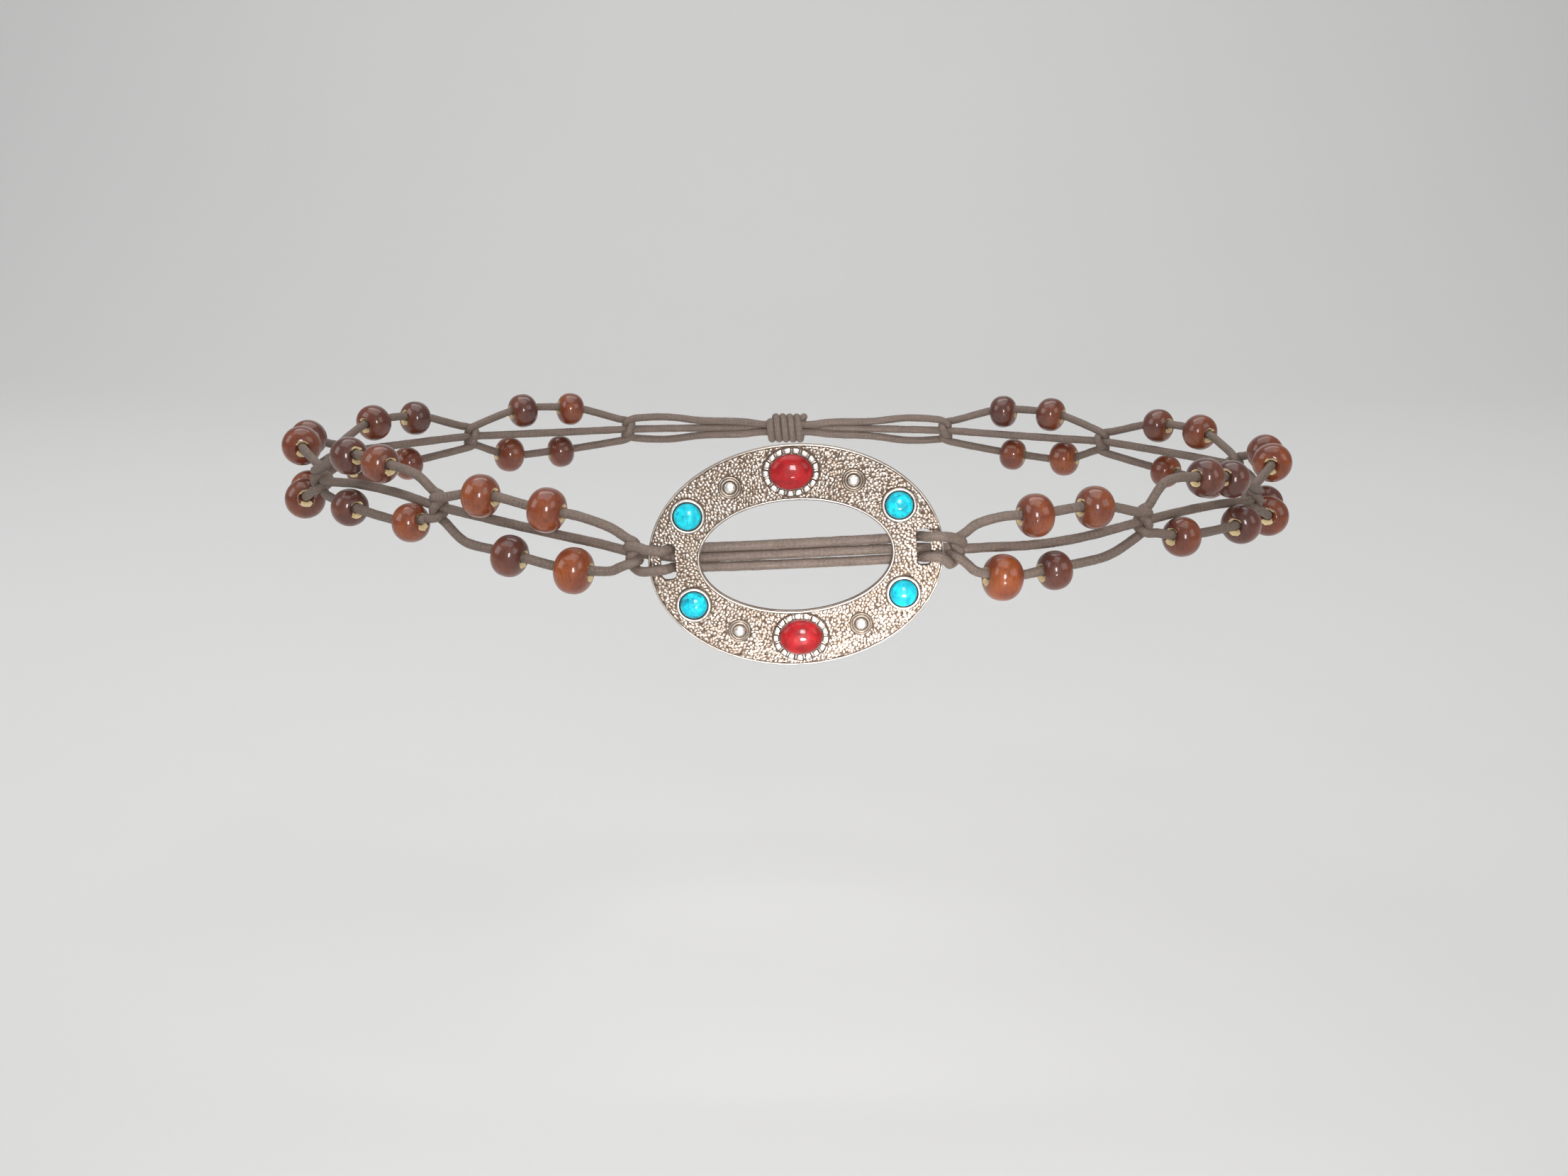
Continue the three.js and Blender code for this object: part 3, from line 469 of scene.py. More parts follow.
def cord_shell(build, points, sides=22, step=0.45, fuzz=17.0, seed=1, radius=CORD_R):
    """A waxed cotton cord: a braided sheath with small lumps, and loose fibres standing off it."""
    C, s = smooth_path(points, step)
    T, N, B = frames(C)
    th = np.linspace(0, 2 * np.pi, sides, endpoint=False)
    S, TH = s[:, None], th[None, :]
    braid = np.cos(4 * TH + 2 * np.pi * S / BRAID_LONG) * np.cos(4 * TH - 2 * np.pi * S / BRAID_LONG)
    rad = N[:, None] * np.cos(TH)[..., None] + B[:, None] * np.sin(TH)[..., None]
    surf = C[:, None] + rad * radius
    flat = surf.reshape(-1, 3)
    R = radius * (1 + 0.022 * braid + (0.020 * lump(flat) + 0.014 * fray(flat)).reshape(braid.shape))
    V = (C[:, None] + rad * R[..., None]).reshape(-1, 3)
    rows, n = len(C), sides
    quads = grid_quads(rows, n)[:, ::-1]
    j = np.arange(len(quads)) % n
    row = np.arange(len(quads)) // n
    u0, u1 = s[row] / 10, s[np.minimum(row + 1, rows - 1)] / 10
    v0, v1 = j / n, (j + 1) / n
    uv = np.stack([np.stack([u1, v0], 1), np.stack([u1, v1], 1), np.stack([u0, v1], 1), np.stack([u0, v0], 1)], 1)
    V = np.concatenate([V, C[:1], C[-1:]])
    a, b = rows * n, rows * n + 1
    i = np.arange(n); k = (i + 1) % n
    caps = np.concatenate([np.stack([np.full(n, a), i, k], 1), np.stack([np.full(n, b), (rows - 1) * n + k, (rows - 1) * n + i], 1)])
    # the braid's height, 1 on a strand and -1 in a groove; the cord material darkens the grooves as painted shade
    build.add(V, tris=caps, quads=quads, uv_quads=uv, worn=np.concatenate([braid.reshape(-1), [0, 0]]))
    # loose fibres: thin closed spikes, leaning along the cord
    g = np.random.default_rng(seed)
    count = int(s[-1] * fuzz)
    ri = g.integers(1, rows - 1, count)
    ti = g.uniform(0, 2 * np.pi, count)
    rr = N[ri] * np.cos(ti)[:, None] + B[ri] * np.sin(ti)[:, None]
    tt = -N[ri] * np.sin(ti)[:, None] + B[ri] * np.cos(ti)[:, None]
    base = C[ri] + rr * (radius * 0.96)
    lean = g.uniform(-2.2, 2.2, count)[:, None] * T[ri] + g.uniform(-1.4, 1.4, count)[:, None] * tt
    d = rr + lean; d /= np.linalg.norm(d, axis=1, keepdims=True)
    long = g.uniform(0.20, 0.46, count)[:, None] + (g.random(count) < 0.03)[:, None] * g.uniform(0.1, 0.4, count)[:, None]
    e1 = np.cross(d, rr + 0.01 * T[ri]); e1 /= np.linalg.norm(e1, axis=1, keepdims=True) + 1e-9
    e2 = np.cross(d, e1)
    w = g.uniform(0.010, 0.020, count)[:, None]
    p = [base + w * (math.cos(x) * e1 + math.sin(x) * e2) for x in (0, 2.094, 4.189)]
    tip = base + d * long
    V = np.stack([*p, tip], 1).reshape(-1, 3)
    o = np.arange(count)[:, None] * 4
    F = np.concatenate([o + np.array([[0, 1, 3]]), o + np.array([[1, 2, 3]]), o + np.array([[2, 0, 3]])])
    build.add(V, tris=F, worn=0.6)
    return s[-1]


# ---------------------------------------------------------------- node tools
def material(name):
    m = bpy.data.materials.new(name)
    m.use_nodes = True
    nt = m.node_tree
    nt.nodes.clear()
    out = nt.nodes.new("ShaderNodeOutputMaterial")
    bsdf = nt.nodes.new("ShaderNodeBsdfPrincipled")
    nt.links.new(bsdf.outputs[0], out.inputs[0])
    return m, nt, bsdf


class Nodes:
    def __init__(self, nt):
        self.nt = nt

    def new(self, kind, **props):
        n = self.nt.nodes.new("ShaderNode" + kind)
        for k, v in props.items():
            setattr(n, k, v)
        return n

    def link(self, a, b):
        self.nt.links.new(a, b)
        return b

    def feed(self, socket, value):
        if isinstance(value, bpy.types.NodeSocket):
            self.link(value, socket)
        else:
            socket.default_value = value

    def coord(self, kind="Object"):
        return self.new("TexCoord").outputs[kind]

    def attr(self, name):
        return self.new("Attribute", attribute_name=name).outputs["Fac"]

    def noise(self, vec, scale, detail=3.0, rough=0.55, distortion=0.0):
        n = self.new("TexNoise")
        self.link(vec, n.inputs["Vector"])
        n.inputs["Scale"].default_value = scale
        n.inputs["Detail"].default_value = detail
        n.inputs["Roughness"].default_value = rough
        n.inputs["Distortion"].default_value = distortion
        return n.outputs["Fac"]

    def stretch(self, vec, scale, turn=(0, 0, 0)):
        n = self.new("Mapping")
        self.link(vec, n.inputs["Vector"])
        n.inputs["Scale"].default_value = scale
        n.inputs["Rotation"].default_value = turn
        return n.outputs[0]

    def cells(self, vec, scale, feature="F1", jitter=1.0):
        n = self.new("TexVoronoi", feature=feature)
        self.link(vec, n.inputs["Vector"])
        n.inputs["Scale"].default_value = scale
        n.inputs["Randomness"].default_value = jitter
        return n.outputs["Distance"]

    def math(self, op, a, b=0.0, clamp=False):
        n = self.new("Math", operation=op, use_clamp=clamp)
        self.feed(n.inputs[0], a)
        self.feed(n.inputs[1], b)
        return n.outputs[0]

    def span(self, value, lo, hi, to_lo=0.0, to_hi=1.0, smooth=True):
        n = self.new("MapRange", interpolation_type="SMOOTHSTEP" if smooth else "LINEAR")
        self.feed(n.inputs["Value"], value)
        for k, v in zip(("From Min", "From Max", "To Min", "To Max"), (lo, hi, to_lo, to_hi)):
            n.inputs[k].default_value = v
        return n.outputs["Result"]

    def mix(self, fac, a, b, blend="MIX"):
        n = self.new("Mix", data_type="RGBA", blend_type=blend)
        self.feed(n.inputs[0], fac)
        for s, v in ((n.inputs[6], a), (n.inputs[7], b)):
            self.feed(s, v if isinstance(v, bpy.types.NodeSocket) else (*v, 1.0))
        return n.outputs[2]

    def bump(self, height, strength, distance, normal=None):
        n = self.new("Bump")
        self.link(height, n.inputs["Height"])
        n.inputs["Strength"].default_value = strength
        n.inputs["Distance"].default_value = distance
        if normal is not None:
            self.link(normal, n.inputs["Normal"])
        return n.outputs[0]


# ---------------------------------------------------------------- materials
def cord_material():
    m, nt, b = material("waxed_cord")
    x = Nodes(nt)
    p = x.coord()
    speck = x.noise(p, 2600, 3, 0.7)
    fine = x.noise(p, 7200, 2, 0.6)
    patch = x.noise(p, 260, 3, 0.55)
    worn = x.attr("worn")
    tone = x.mix(x.span(speck, 0.34, 0.68), (0.128, 0.094, 0.074), (0.240, 0.179, 0.144))
    # painted highlight: pale flecks standing for glints on the fibres
    tone = x.mix(x.span(fine, 0.58, 0.74, 0.0, 0.8), tone, (0.42, 0.35, 0.295))
    # painted shade: darker in the braid's grooves, between the strands
    tone = x.mix(x.span(worn, -0.9, 0.5, 0.28, 0.0), tone, (0.080, 0.059, 0.047))
    tone = x.mix(x.span(patch, 0.42, 0.70, 0.0, 0.40), tone, (0.235, 0.165, 0.135))
    x.link(tone, b.inputs["Base Color"])
    x.link(x.span(fine, 0.3, 0.75, 0.72, 0.48), b.inputs["Roughness"])
    b.inputs["Specular IOR Level"].default_value = 0.45
    b.inputs["Sheen Weight"].default_value = 0.06
    b.inputs["Sheen Roughness"].default_value = 0.4
    b.inputs["Sheen Tint"].default_value = (0.75, 0.66, 0.58, 1)
    n1 = x.bump(speck, 0.42, 0.00011)
    x.link(x.bump(fine, 0.5, 0.00006, n1), b.inputs["Normal"])
    return m


def silver_material():
    m, nt, b = material("antique_silver")
    x = Nodes(nt)
    p = x.coord()
    # high is also kept low on the inner wall beside each turquoise, a painted shade line
    high = x.attr("high")          # 0 in a groove, 1 on a worn top
    stain = x.noise(p, 110, 4, 0.6)
    grit = x.noise(p, 2400, 3, 0.65)
    scratch = x.noise(x.stretch(p, (1, 1, 0.12), (0, 0.7, 0)), 5200, 2, 0.5)
    h = x.math("ADD", high, x.math("MULTIPLY", x.math("SUBTRACT", grit, 0.5), 0.16))
    worn = x.span(h, 0.20, 0.62)
    warm = x.mix(x.span(stain, 0.38, 0.66), (0.475, 0.400, 0.335), (0.355, 0.280, 0.220))
    warm = x.mix(x.span(h, 0.74, 1.0), warm, (0.80, 0.76, 0.71))
    dark = x.mix(x.span(grit, 0.35, 0.65), (0.078, 0.048, 0.034), (0.165, 0.105, 0.074))
    x.link(x.mix(worn, dark, warm), b.inputs["Base Color"])
    x.link(x.span(worn, 0, 1, 0.35, 1.0), b.inputs["Metallic"])
    rough = x.math("ADD", x.span(worn, 0, 1, 0.58, 0.30), x.math("MULTIPLY", x.math("SUBTRACT", stain, 0.5), 0.14))
    x.link(rough, b.inputs["Roughness"])
    b.inputs["Specular IOR Level"].default_value = 0.5
    n1 = x.bump(grit, 0.12, 0.00005)
    x.link(x.bump(scratch, 0.08, 0.00003, n1), b.inputs["Normal"])
    return m


def bead_material():
    m, nt, b = material("bead_wood")
    x = Nodes(nt)
    p = x.coord()
    # the tone attribute also carries the painted glow, lighter orange on each bead's outer, lower side
    tone = x.attr("tone")          # 0 orange, 1 plum
    raw = x.attr("raw")            # 1 where the lacquer ends at the bore
    grain = x.noise(x.stretch(p, (1, 1, 0.22), (0.5, 0.35, 0)), 1500, 4, 0.65, 0.5)
    cloud = x.noise(p, 150, 2, 0.5)
    pore = x.noise(p, 4200, 2, 0.6)
    orange = x.mix(x.span(cloud, 0.36, 0.64), (0.225, 0.037, 0.005), (0.345, 0.073, 0.007))
    plum = x.mix(x.span(cloud, 0.36, 0.64), (0.090, 0.025, 0.016), (0.125, 0.036, 0.022))
    wood = x.mix(tone, orange, plum)
    wood = x.mix(x.span(grain, 0.42, 0.70, 0.0, 0.50), wood, x.mix(tone, (0.085, 0.011, 0.003), (0.022, 0.006, 0.004)))
    wood = x.mix(x.span(pore, 0.52, 0.72, 0.0, 0.40), wood, x.mix(tone, (0.42, 0.12, 0.018), (0.13, 0.040, 0.022)))
    chip = x.math("ADD", raw, x.math("MULTIPLY", x.math("SUBTRACT", x.noise(p, 900, 3, 0.65), 0.5), 0.9))
    bare = x.span(chip, 0.50, 0.56)
    cream = x.mix(x.noise(x.stretch(p, (1, 1, 0.3), (0.5, 0.35, 0)), 2400, 3, 0.6), (0.66, 0.47, 0.22), (0.92, 0.76, 0.46))
    x.link(x.mix(bare, wood, cream), b.inputs["Base Color"])
    x.link(x.span(bare, 0, 1, 0.47, 0.75), b.inputs["Roughness"])
    b.inputs["Specular IOR Level"].default_value = 0.40
    x.link(x.span(bare, 0, 1, 0.95, 0.0), b.inputs["Coat Weight"])
    b.inputs["Coat Roughness"].default_value = 0.085
    b.inputs["Coat IOR"].default_value = 1.47
    x.link(x.bump(x.math("ADD", grain, x.math("MULTIPLY", bare, -0.6)), 0.18, 0.0001), b.inputs["Normal"])
    return m


def red_material():
    m, nt, b = material("red_stone")
    x = Nodes(nt)
    p = x.coord()
    cloud = x.noise(p, 330, 4, 0.6, 0.4)
    vein = x.noise(x.stretch(p, (1, 1, 0.45), (0, 0.9, 0)), 900, 4, 0.62, 1.2)
    c = x.mix(x.span(cloud, 0.34, 0.68), (0.255, 0.002, 0.004), (0.46, 0.006, 0.010))
    c = x.mix(x.span(vein, 0.56, 0.72, 0.0, 0.30), c, (0.110, 0.002, 0.003))
    c = x.mix(x.span(vein, 0.44, 0.30, 0.0, 0.22), c, (0.62, 0.055, 0.055))
    x.link(c, b.inputs["Base Color"])
    b.inputs["Roughness"].default_value = 0.42
    b.inputs["Specular IOR Level"].default_value = 0.25
    b.inputs["Coat Weight"].default_value = 0.5
    b.inputs["Coat Roughness"].default_value = 0.05
    x.link(x.bump(vein, 0.07, 0.0001), b.inputs["Normal"])
    return m


def turquoise_material():
    m, nt, b = material("turquoise_stone")
    x = Nodes(nt)
    p = x.coord()
    cloud = x.noise(p, 430, 4, 0.6, 0.3)
    vein = x.cells(x.stretch(p, (1, 1, 1)), 330, "DISTANCE_TO_EDGE")
    broken = x.noise(p, 700, 3, 0.6)
    patch = x.noise(p, 210, 3, 0.6, 0.5)
    c = x.mix(x.span(cloud, 0.36, 0.66), (0.000, 0.41, 0.54), (0.002, 0.70, 0.84))
    c = x.mix(x.span(patch, 0.58, 0.68, 0.0, 0.7), c, (0.001, 0.11, 0.21))
    line = x.math("MULTIPLY", x.span(vein, 0.055, 0.005), x.span(broken, 0.50, 0.60))
    c = x.mix(x.math("MULTIPLY", line, 0.6), c, (0.010, 0.055, 0.09))
    x.link(c, b.inputs["Base Color"])
    b.inputs["Roughness"].default_value = 0.42
    b.inputs["Specular IOR Level"].default_value = 0.25
    b.inputs["Coat Weight"].default_value = 0.45
    b.inputs["Coat Roughness"].default_value = 0.05
    x.link(x.bump(x.math("SUBTRACT", cloud, line), 0.08, 0.00008), b.inputs["Normal"])
    return m


CORD, SILVER, WOOD, RED, TURQUOISE = (
    cord_material(), silver_material(), bead_material(), red_material(), turquoise_material())


def finish_piece(obj, slot, *nodes):
    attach(obj, "root")
    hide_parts(*nodes)
    return obj


# ---------------------------------------------------------------- cords
def make_cord(name, points, seed):
    build = Build("worn")
    cord_shell(build, points, seed=seed)
    return finish_piece(build.object(name + "_braid", CORD, uv=True), "waxed_cord", name)


for seed, which in ((21, "top"), (22, "bottom")):
    left, right = outer_cord("left", which), outer_cord("right", which)
    make_cord(f"cord_ring_{which}", left[::-1] + right, seed)
make_cord("cord_middle", middle_cord("left")[::-1] + middle_cord("right"), 23)


def make_tie():
    """A cord wound five times round the three cords, its ends tucked under the turns."""
    z0, off = middle_at("left", HALF_ROUND - 0.01)
    c = on_waist("left", HALF_ROUND - 0.01, z0, off)
    turns, r, pitch = 4.85, 4.15, 2.62
    a = np.linspace(0, 2 * np.pi * turns, int(turns * 14))
    x = (a / (2 * np.pi) - turns / 2) * pitch
    pts = np.stack([c[0] + x, c[1] + r * np.cos(a + 2.4), c[2] + r * np.sin(a + 2.4)], 1)
    tuck = lambda q, dx: [[q[0] + dx, c[1] + (q[1] - c[1]) * 0.62, c[2] + (q[2] - c[2]) * 0.62]]
    pts = np.concatenate([tuck(pts[0], 2.2), pts, tuck(pts[-1], -2.2)])
    build = Build("worn")
    cord_shell(build, pts, seed=31, step=0.5)
    return finish_piece(build.object("back_tie_wound", CORD, uv=True), "waxed_cord", "back_tie")


make_tie()

# ---------------------------------------------------------------- beads
BEAD_BORE = 1.52


def make_bead(bead, number):
    d, around = bead["d"], 56
    r, h = d / 2, d * BEAD_LONG / 2
    p = 2.3
    full = h / (1 - (2.55 / r) ** p) ** (1 / p)
    # over the outside from one mouth to the other, then back through the bore. The mouth is worn down
    # under the cord, so the bore lies higher than the mouth's middle
    ax = np.sin(np.linspace(-np.pi / 2, np.pi / 2, 27)) * h
    rad = r * (1 - (np.abs(ax) / full) ** p) ** (1 / p)
    sink = [(2.45, 0.03, 0.0), (2.28, 0.10, 0.12), (2.06, 0.24, 0.42), (1.80, 0.44, 0.75), (BEAD_BORE, 0.80, 1.0)]
    outside = [(q, at, 0.0) for q, at in zip(rad, ax)]
    bore = ([(q, h - deep, up) for q, deep, up in sink] + [(BEAD_BORE, 0.0, 1.0)]
            + [(q, deep - h, up) for q, deep, up in reversed(sink)])
    loop = np.array(outside + bore)
    verts, quads = ring_shell(loop[:, :2], around)
    verts[:, 0] += np.repeat(loop[:, 2], around) * bead["hang"]
    outer = np.repeat(np.arange(len(loop)) < len(outside), around)
    deep_in = np.repeat(loop[:, 0] < BEAD_BORE + 0.02, around)
    ang = np.tile(np.linspace(0, 2 * np.pi, around, endpoint=False), len(loop))
    radius = np.hypot(verts[:, 0], verts[:, 1])
    g = np.random.default_rng(400 + number)
    a1, a2, a3 = g.uniform(0, 6.28, 3)
    edge = 2.52 + 0.10 * np.sin(2 * ang + a1) + 0.11 * np.sin(5 * ang + a2) + 0.07 * np.sin(9 * ang + a3)
    # bare wood above and below the cord, stained wood beside it
    sector = np.clip((np.abs(np.cos(ang + 0.10 * np.sin(3 * ang + a2))) - 0.46) / 0.28, 0.08, 1)
    raw = np.where(outer, np.clip(1 - (radius - edge) / 0.35, 0, 1) * 0.60 * sector, 0.95 * sector)
    raw = np.where(deep_in & ~outer, 0.45, raw)
    # turned by hand: never quite round, and its mouth a little uneven
    wob = 1 + 0.006 * np.sin(2 * ang + a2) + 0.004 * np.sin(3 * ang + a3)
    verts[:, :2] *= np.where(outer, wob, 1.0)[:, None]
    chip = np.clip(1 - np.abs(radius - 2.46) / 0.4, 0, 1) * (np.abs(verts[:, 2]) > h * 0.8)
    verts[:, 2] -= np.sign(verts[:, 2]) * chip * (0.08 + 0.08 * np.sin(4 * ang + a1) * np.sin(7 * ang + a3))
    world = place(verts, bead["centre"], bead["axis"], (0, 0, 1))
    # painted light: each bead's outer, lower side is shifted towards the lighter orange, as a glow
    local = (world - bead["centre"]) / r
    painted_glow = sign(bead["side"]) * local[:, 0] * 0.30 - local[:, 2] * 0.12
    build = Build("tone", "raw")
    build.add(world, quads=quads, tone=np.clip(bead["tone"] - painted_glow, 0, 1), raw=raw)
    obj = build.object(bead["name"] + "_turned", WOOD)
    return finish_piece(obj, "bead_wood", bead["name"])


for number, bead in enumerate(BEADS):
    make_bead(bead, number)

# ---------------------------------------------------------------- stones
for name, kind, u, v, rx, ry, high in STONES:
    t = np.linspace(0, np.pi / 2, 22)
    edge = 0.955 if kind == "red" else 0.940
    girdle = 0.35
    prof = [(0, 0), (edge, 0)] + [(edge * math.cos(a) ** 0.86, girdle + (high - girdle) * math.sin(a)) for a in t[:-1]] + [(0, high)]
    verts, tris, quads = lathe(prof, 72, rx, ry)
    verts[:, 2] += 0.3
    verts[:, 0] += u
    verts[:, 1] += v
    build = Build()
    build.add(plate_world(verts), tris=tris, quads=quads)
    obj = build.object(name + "_cabochon", RED if kind == "red" else TURQUOISE, crease=50)
    finish_piece(obj, kind + "_stone", name)

# ---------------------------------------------------------------- plate
# the pebbles: cells of uneven size and direction round scattered seeds
CELL = 0.96
gx, gy = np.meshgrid(np.arange(-42, 42.1, CELL), np.arange(-32.5, 32.6, CELL * 0.88), indexing="ij")
gx = gx + (np.arange(gx.shape[1]) % 2)[None, :] * CELL / 2
seeds = np.stack([gx.ravel(), gy.ravel()], 1) + RNG.uniform(-0.40, 0.40, (gx.size, 2)) * CELL
seeds = seeds[RNG.random(len(seeds)) > 0.05]
flow = waves(5, 10, 34.0)
turn = 1.6 * flow(np.c_[seeds, np.zeros(len(seeds))]) + RNG.normal(0, 0.5, len(seeds))
thin = RNG.uniform(0.66, 0.97, len(seeds))
ca, sa = np.cos(turn), np.sin(turn)
MA = thin ** 2 * ca * ca + sa * sa / thin ** 2
MB = (thin ** 2 - 1 / thin ** 2) * ca * sa
MC = thin ** 2 * sa * sa + ca * ca / thin ** 2
GROW = RNG.uniform(0.0, 0.20, len(seeds)) * (RNG.random(len(seeds)) < 0.45)
TALL = RNG.uniform(0.66, 1.08, len(seeds))


def pebbles(u, v):
    """Height of the pebbled face above its grooves, 0 to about 1."""
    out = np.zeros(len(u))
    for i in range(0, len(u), 3000):
        a, b = u[i:i + 3000, None], v[i:i + 3000, None]
        near = ((seeds[:, 0] > a.min() - 4) & (seeds[:, 0] < a.max() + 4)
                & (seeds[:, 1] > b.min() - 4) & (seeds[:, 1] < b.max() + 4))
        idx = np.nonzero(near)[0]
        dx, dy = a - seeds[idx, 0], b - seeds[idx, 1]
        d = np.sqrt(MA[idx] * dx * dx + 2 * MB[idx] * dx * dy + MC[idx] * dy * dy) - GROW[idx]
        two = np.argpartition(d, 1, axis=1)[:, :2]
        pair = np.take_along_axis(d, two, 1)
        first = np.argmin(pair, 1)
        n = np.arange(len(pair))
        f1, f2 = pair[n, first], pair[n, 1 - first]
        g = np.clip((f2 - f1) / 0.46, 0, 1)
        dome = 1 - 0.50 * np.clip((f1 + 0.08) / 0.70, 0, 1) ** 2
        out[i:i + 3000] = (1 - (1 - g) ** 2) * dome * TALL[idx[two[n, first]]]
    return out


SEATS = ([(u, v, rx + 1.72, ry + 1.72) if kind == "red" else (u, v, 4.76, 4.76) for _, kind, u, v, rx, ry, _ in STONES]
         + [(u, v, 3.06, 3.06) for u, v in STUDS])


def seat_clear(u, v):
    """0 inside a bezel's or stud's outline, rising to 1 a little outside it."""
    out = np.ones(np.shape(u))
    for su, sv, a, b in SEATS:
        q = np.hypot((u - su) / a, (v - sv) / b)
        out = np.minimum(out, np.clip((q - 1.0) * min(a, b) / 0.22, 0, 1))
    return out


def plate_mesh():
    around = 850
    a = np.linspace(0, 2 * np.pi, around, endpoint=False)
    # even steps round the middle of the band
    fine = np.linspace(0, 2 * np.pi, 20001)
    ln = np.concatenate([[0], np.cumsum(np.hypot(np.diff(33 * np.cos(fine)), np.diff(23 * np.sin(fine))))])
    a = np.interp(np.linspace(0, ln[-1], around, endpoint=False), ln, fine)
    inner = np.stack([OPEN_A * np.cos(a), OPEN_B * np.sin(a)], 1)
    outer = np.stack([PLATE_A * np.cos(a), PLATE_B * np.sin(a)], 1)
    W = np.linalg.norm(outer - inner, axis=1)
    T = PLATE_T
    # columns: (mm from the opening or, where negative, from the outer edge; height or None on the face)
    cols = [(0.25, -T), (0.06, -T + 0.08), (0.0, -T + 0.25), (0.0, -0.62), (0.03, -0.50), (0.10, -0.45), (0.17, -0.43),
            (0.20, -0.30), (0.24, -0.10), (0.34, 0.03), (0.47, 0.08), (0.59, 0.04), (0.66, -0.05), (0.70, -0.14)]
    face = np.linspace(0, 1, 60)
    tail = [(-0.52, -0.13), (-0.47, -0.03), (-0.38, 0.04), (-0.26, 0.05), (-0.14, -0.01), (-0.05, -0.13), (0.0, -0.32),
            (0.0, -T + 0.30), (-0.08, -T + 0.08), (-0.28, -T)]
    rows, z, wear, win_all, wout_all = [], [], [], [], []
    d = (outer - inner) / W[:, None]
    for mm, h in cols:
        rows.append(inner + d * mm); z.append(np.full(around, h))
        wear.append(np.full(around, 0.95 if h > -0.08 else 0.35 if h > -0.42 and mm < 0.5 else 0.2 if mm > 0.5 else 0.45 if h > -0.6 else 0.10))
    lo, hi = 0.74, W - 0.56
    fu = []
    for f in face:
        fu.append(inner + d * (lo + (hi - lo) * f)[:, None])
    F = np.array(fu)
    flat = F.reshape(-1, 2)
    wi = (lo + (hi - lo)[None, :] * face[:, None])
    fz = pebbles(flat[:, 0], flat[:, 1]).reshape(len(face), around)
    fade = np.clip(np.minimum(wi - 0.72, W[None] - 0.54 - wi) / 0.25, 0.0, 1.0)
    seat = seat_clear(F[..., 0], F[..., 1])
    for i in range(len(face)):
        rows.append(F[i]); z.append(-0.14 + 0.24 * fz[i] * (0.45 + 0.55 * fade[i]) * seat[i]); wear.append(fz[i] * (0.4 + 0.6 * fade[i]) * seat[i])
    for mm, h in tail:
        rows.append(outer + d * mm); z.append(np.full(around, h))
        wear.append(np.full(around, 0.85 if h > -0.10 else 0.30 if h > -0.2 and mm < -0.4 else 0.62))
    back = np.linspace(0.88, 0.12, 5)
    for f in back:
        rows.append(inner + (outer - inner) * f); z.append(np.full(around, -T)); wear.append(np.full(around, 0.5))
    P = np.array(rows)
    verts = np.concatenate([P.reshape(-1, 2), np.array(z).reshape(-1, 1)], 1)
    return verts, np.array(wear).reshape(-1), len(rows), around


def rounded_box(build, centre, half, turn, wear, flare=0.0, n=5):
    """A small pillow standing on the plate: a cube's faces pushed out to a rounded form, wider on its far
    side where it flares."""
    t = np.linspace(-1, 1, n)
    faces, verts, index = [], [], {}
    for axis in range(3):
        for s in (-1, 1):
            for i in range(n - 1):
                for j in range(n - 1):
                    quad = []
                    for di, dj in ((0, 0), (1, 0), (1, 1), (0, 1)):
                        p = [0, 0, 0]
                        p[axis] = s; p[(axis + 1) % 3] = t[i + di]; p[(axis + 2) % 3] = t[j + dj]
                        key = tuple(round(c, 4) for c in p)
                        if key not in index:
                            index[key] = len(verts); verts.append(p)
                        quad.append(index[key])
                    faces.append(quad if s > 0 else quad[::-1])
    v = np.array(verts, float)
    e = 7.0
    v = v / (np.sum(np.abs(v) ** e, 1, keepdims=True) ** (1 / e))
    top = np.clip(v[:, 2] * 1.3, 0, 1)
    v = v * half
    v[:, 0] *= 1 - flare * v[:, 1] / half[1]
    c, s = math.cos(turn), math.sin(turn)
    v = np.stack([v[:, 0] * c - v[:, 1] * s, v[:, 0] * s + v[:, 1] * c, v[:, 2]], 1) + centre
    build.add(plate_world(v), quads=np.array(faces), high=wear * (0.25 + 0.75 * top))


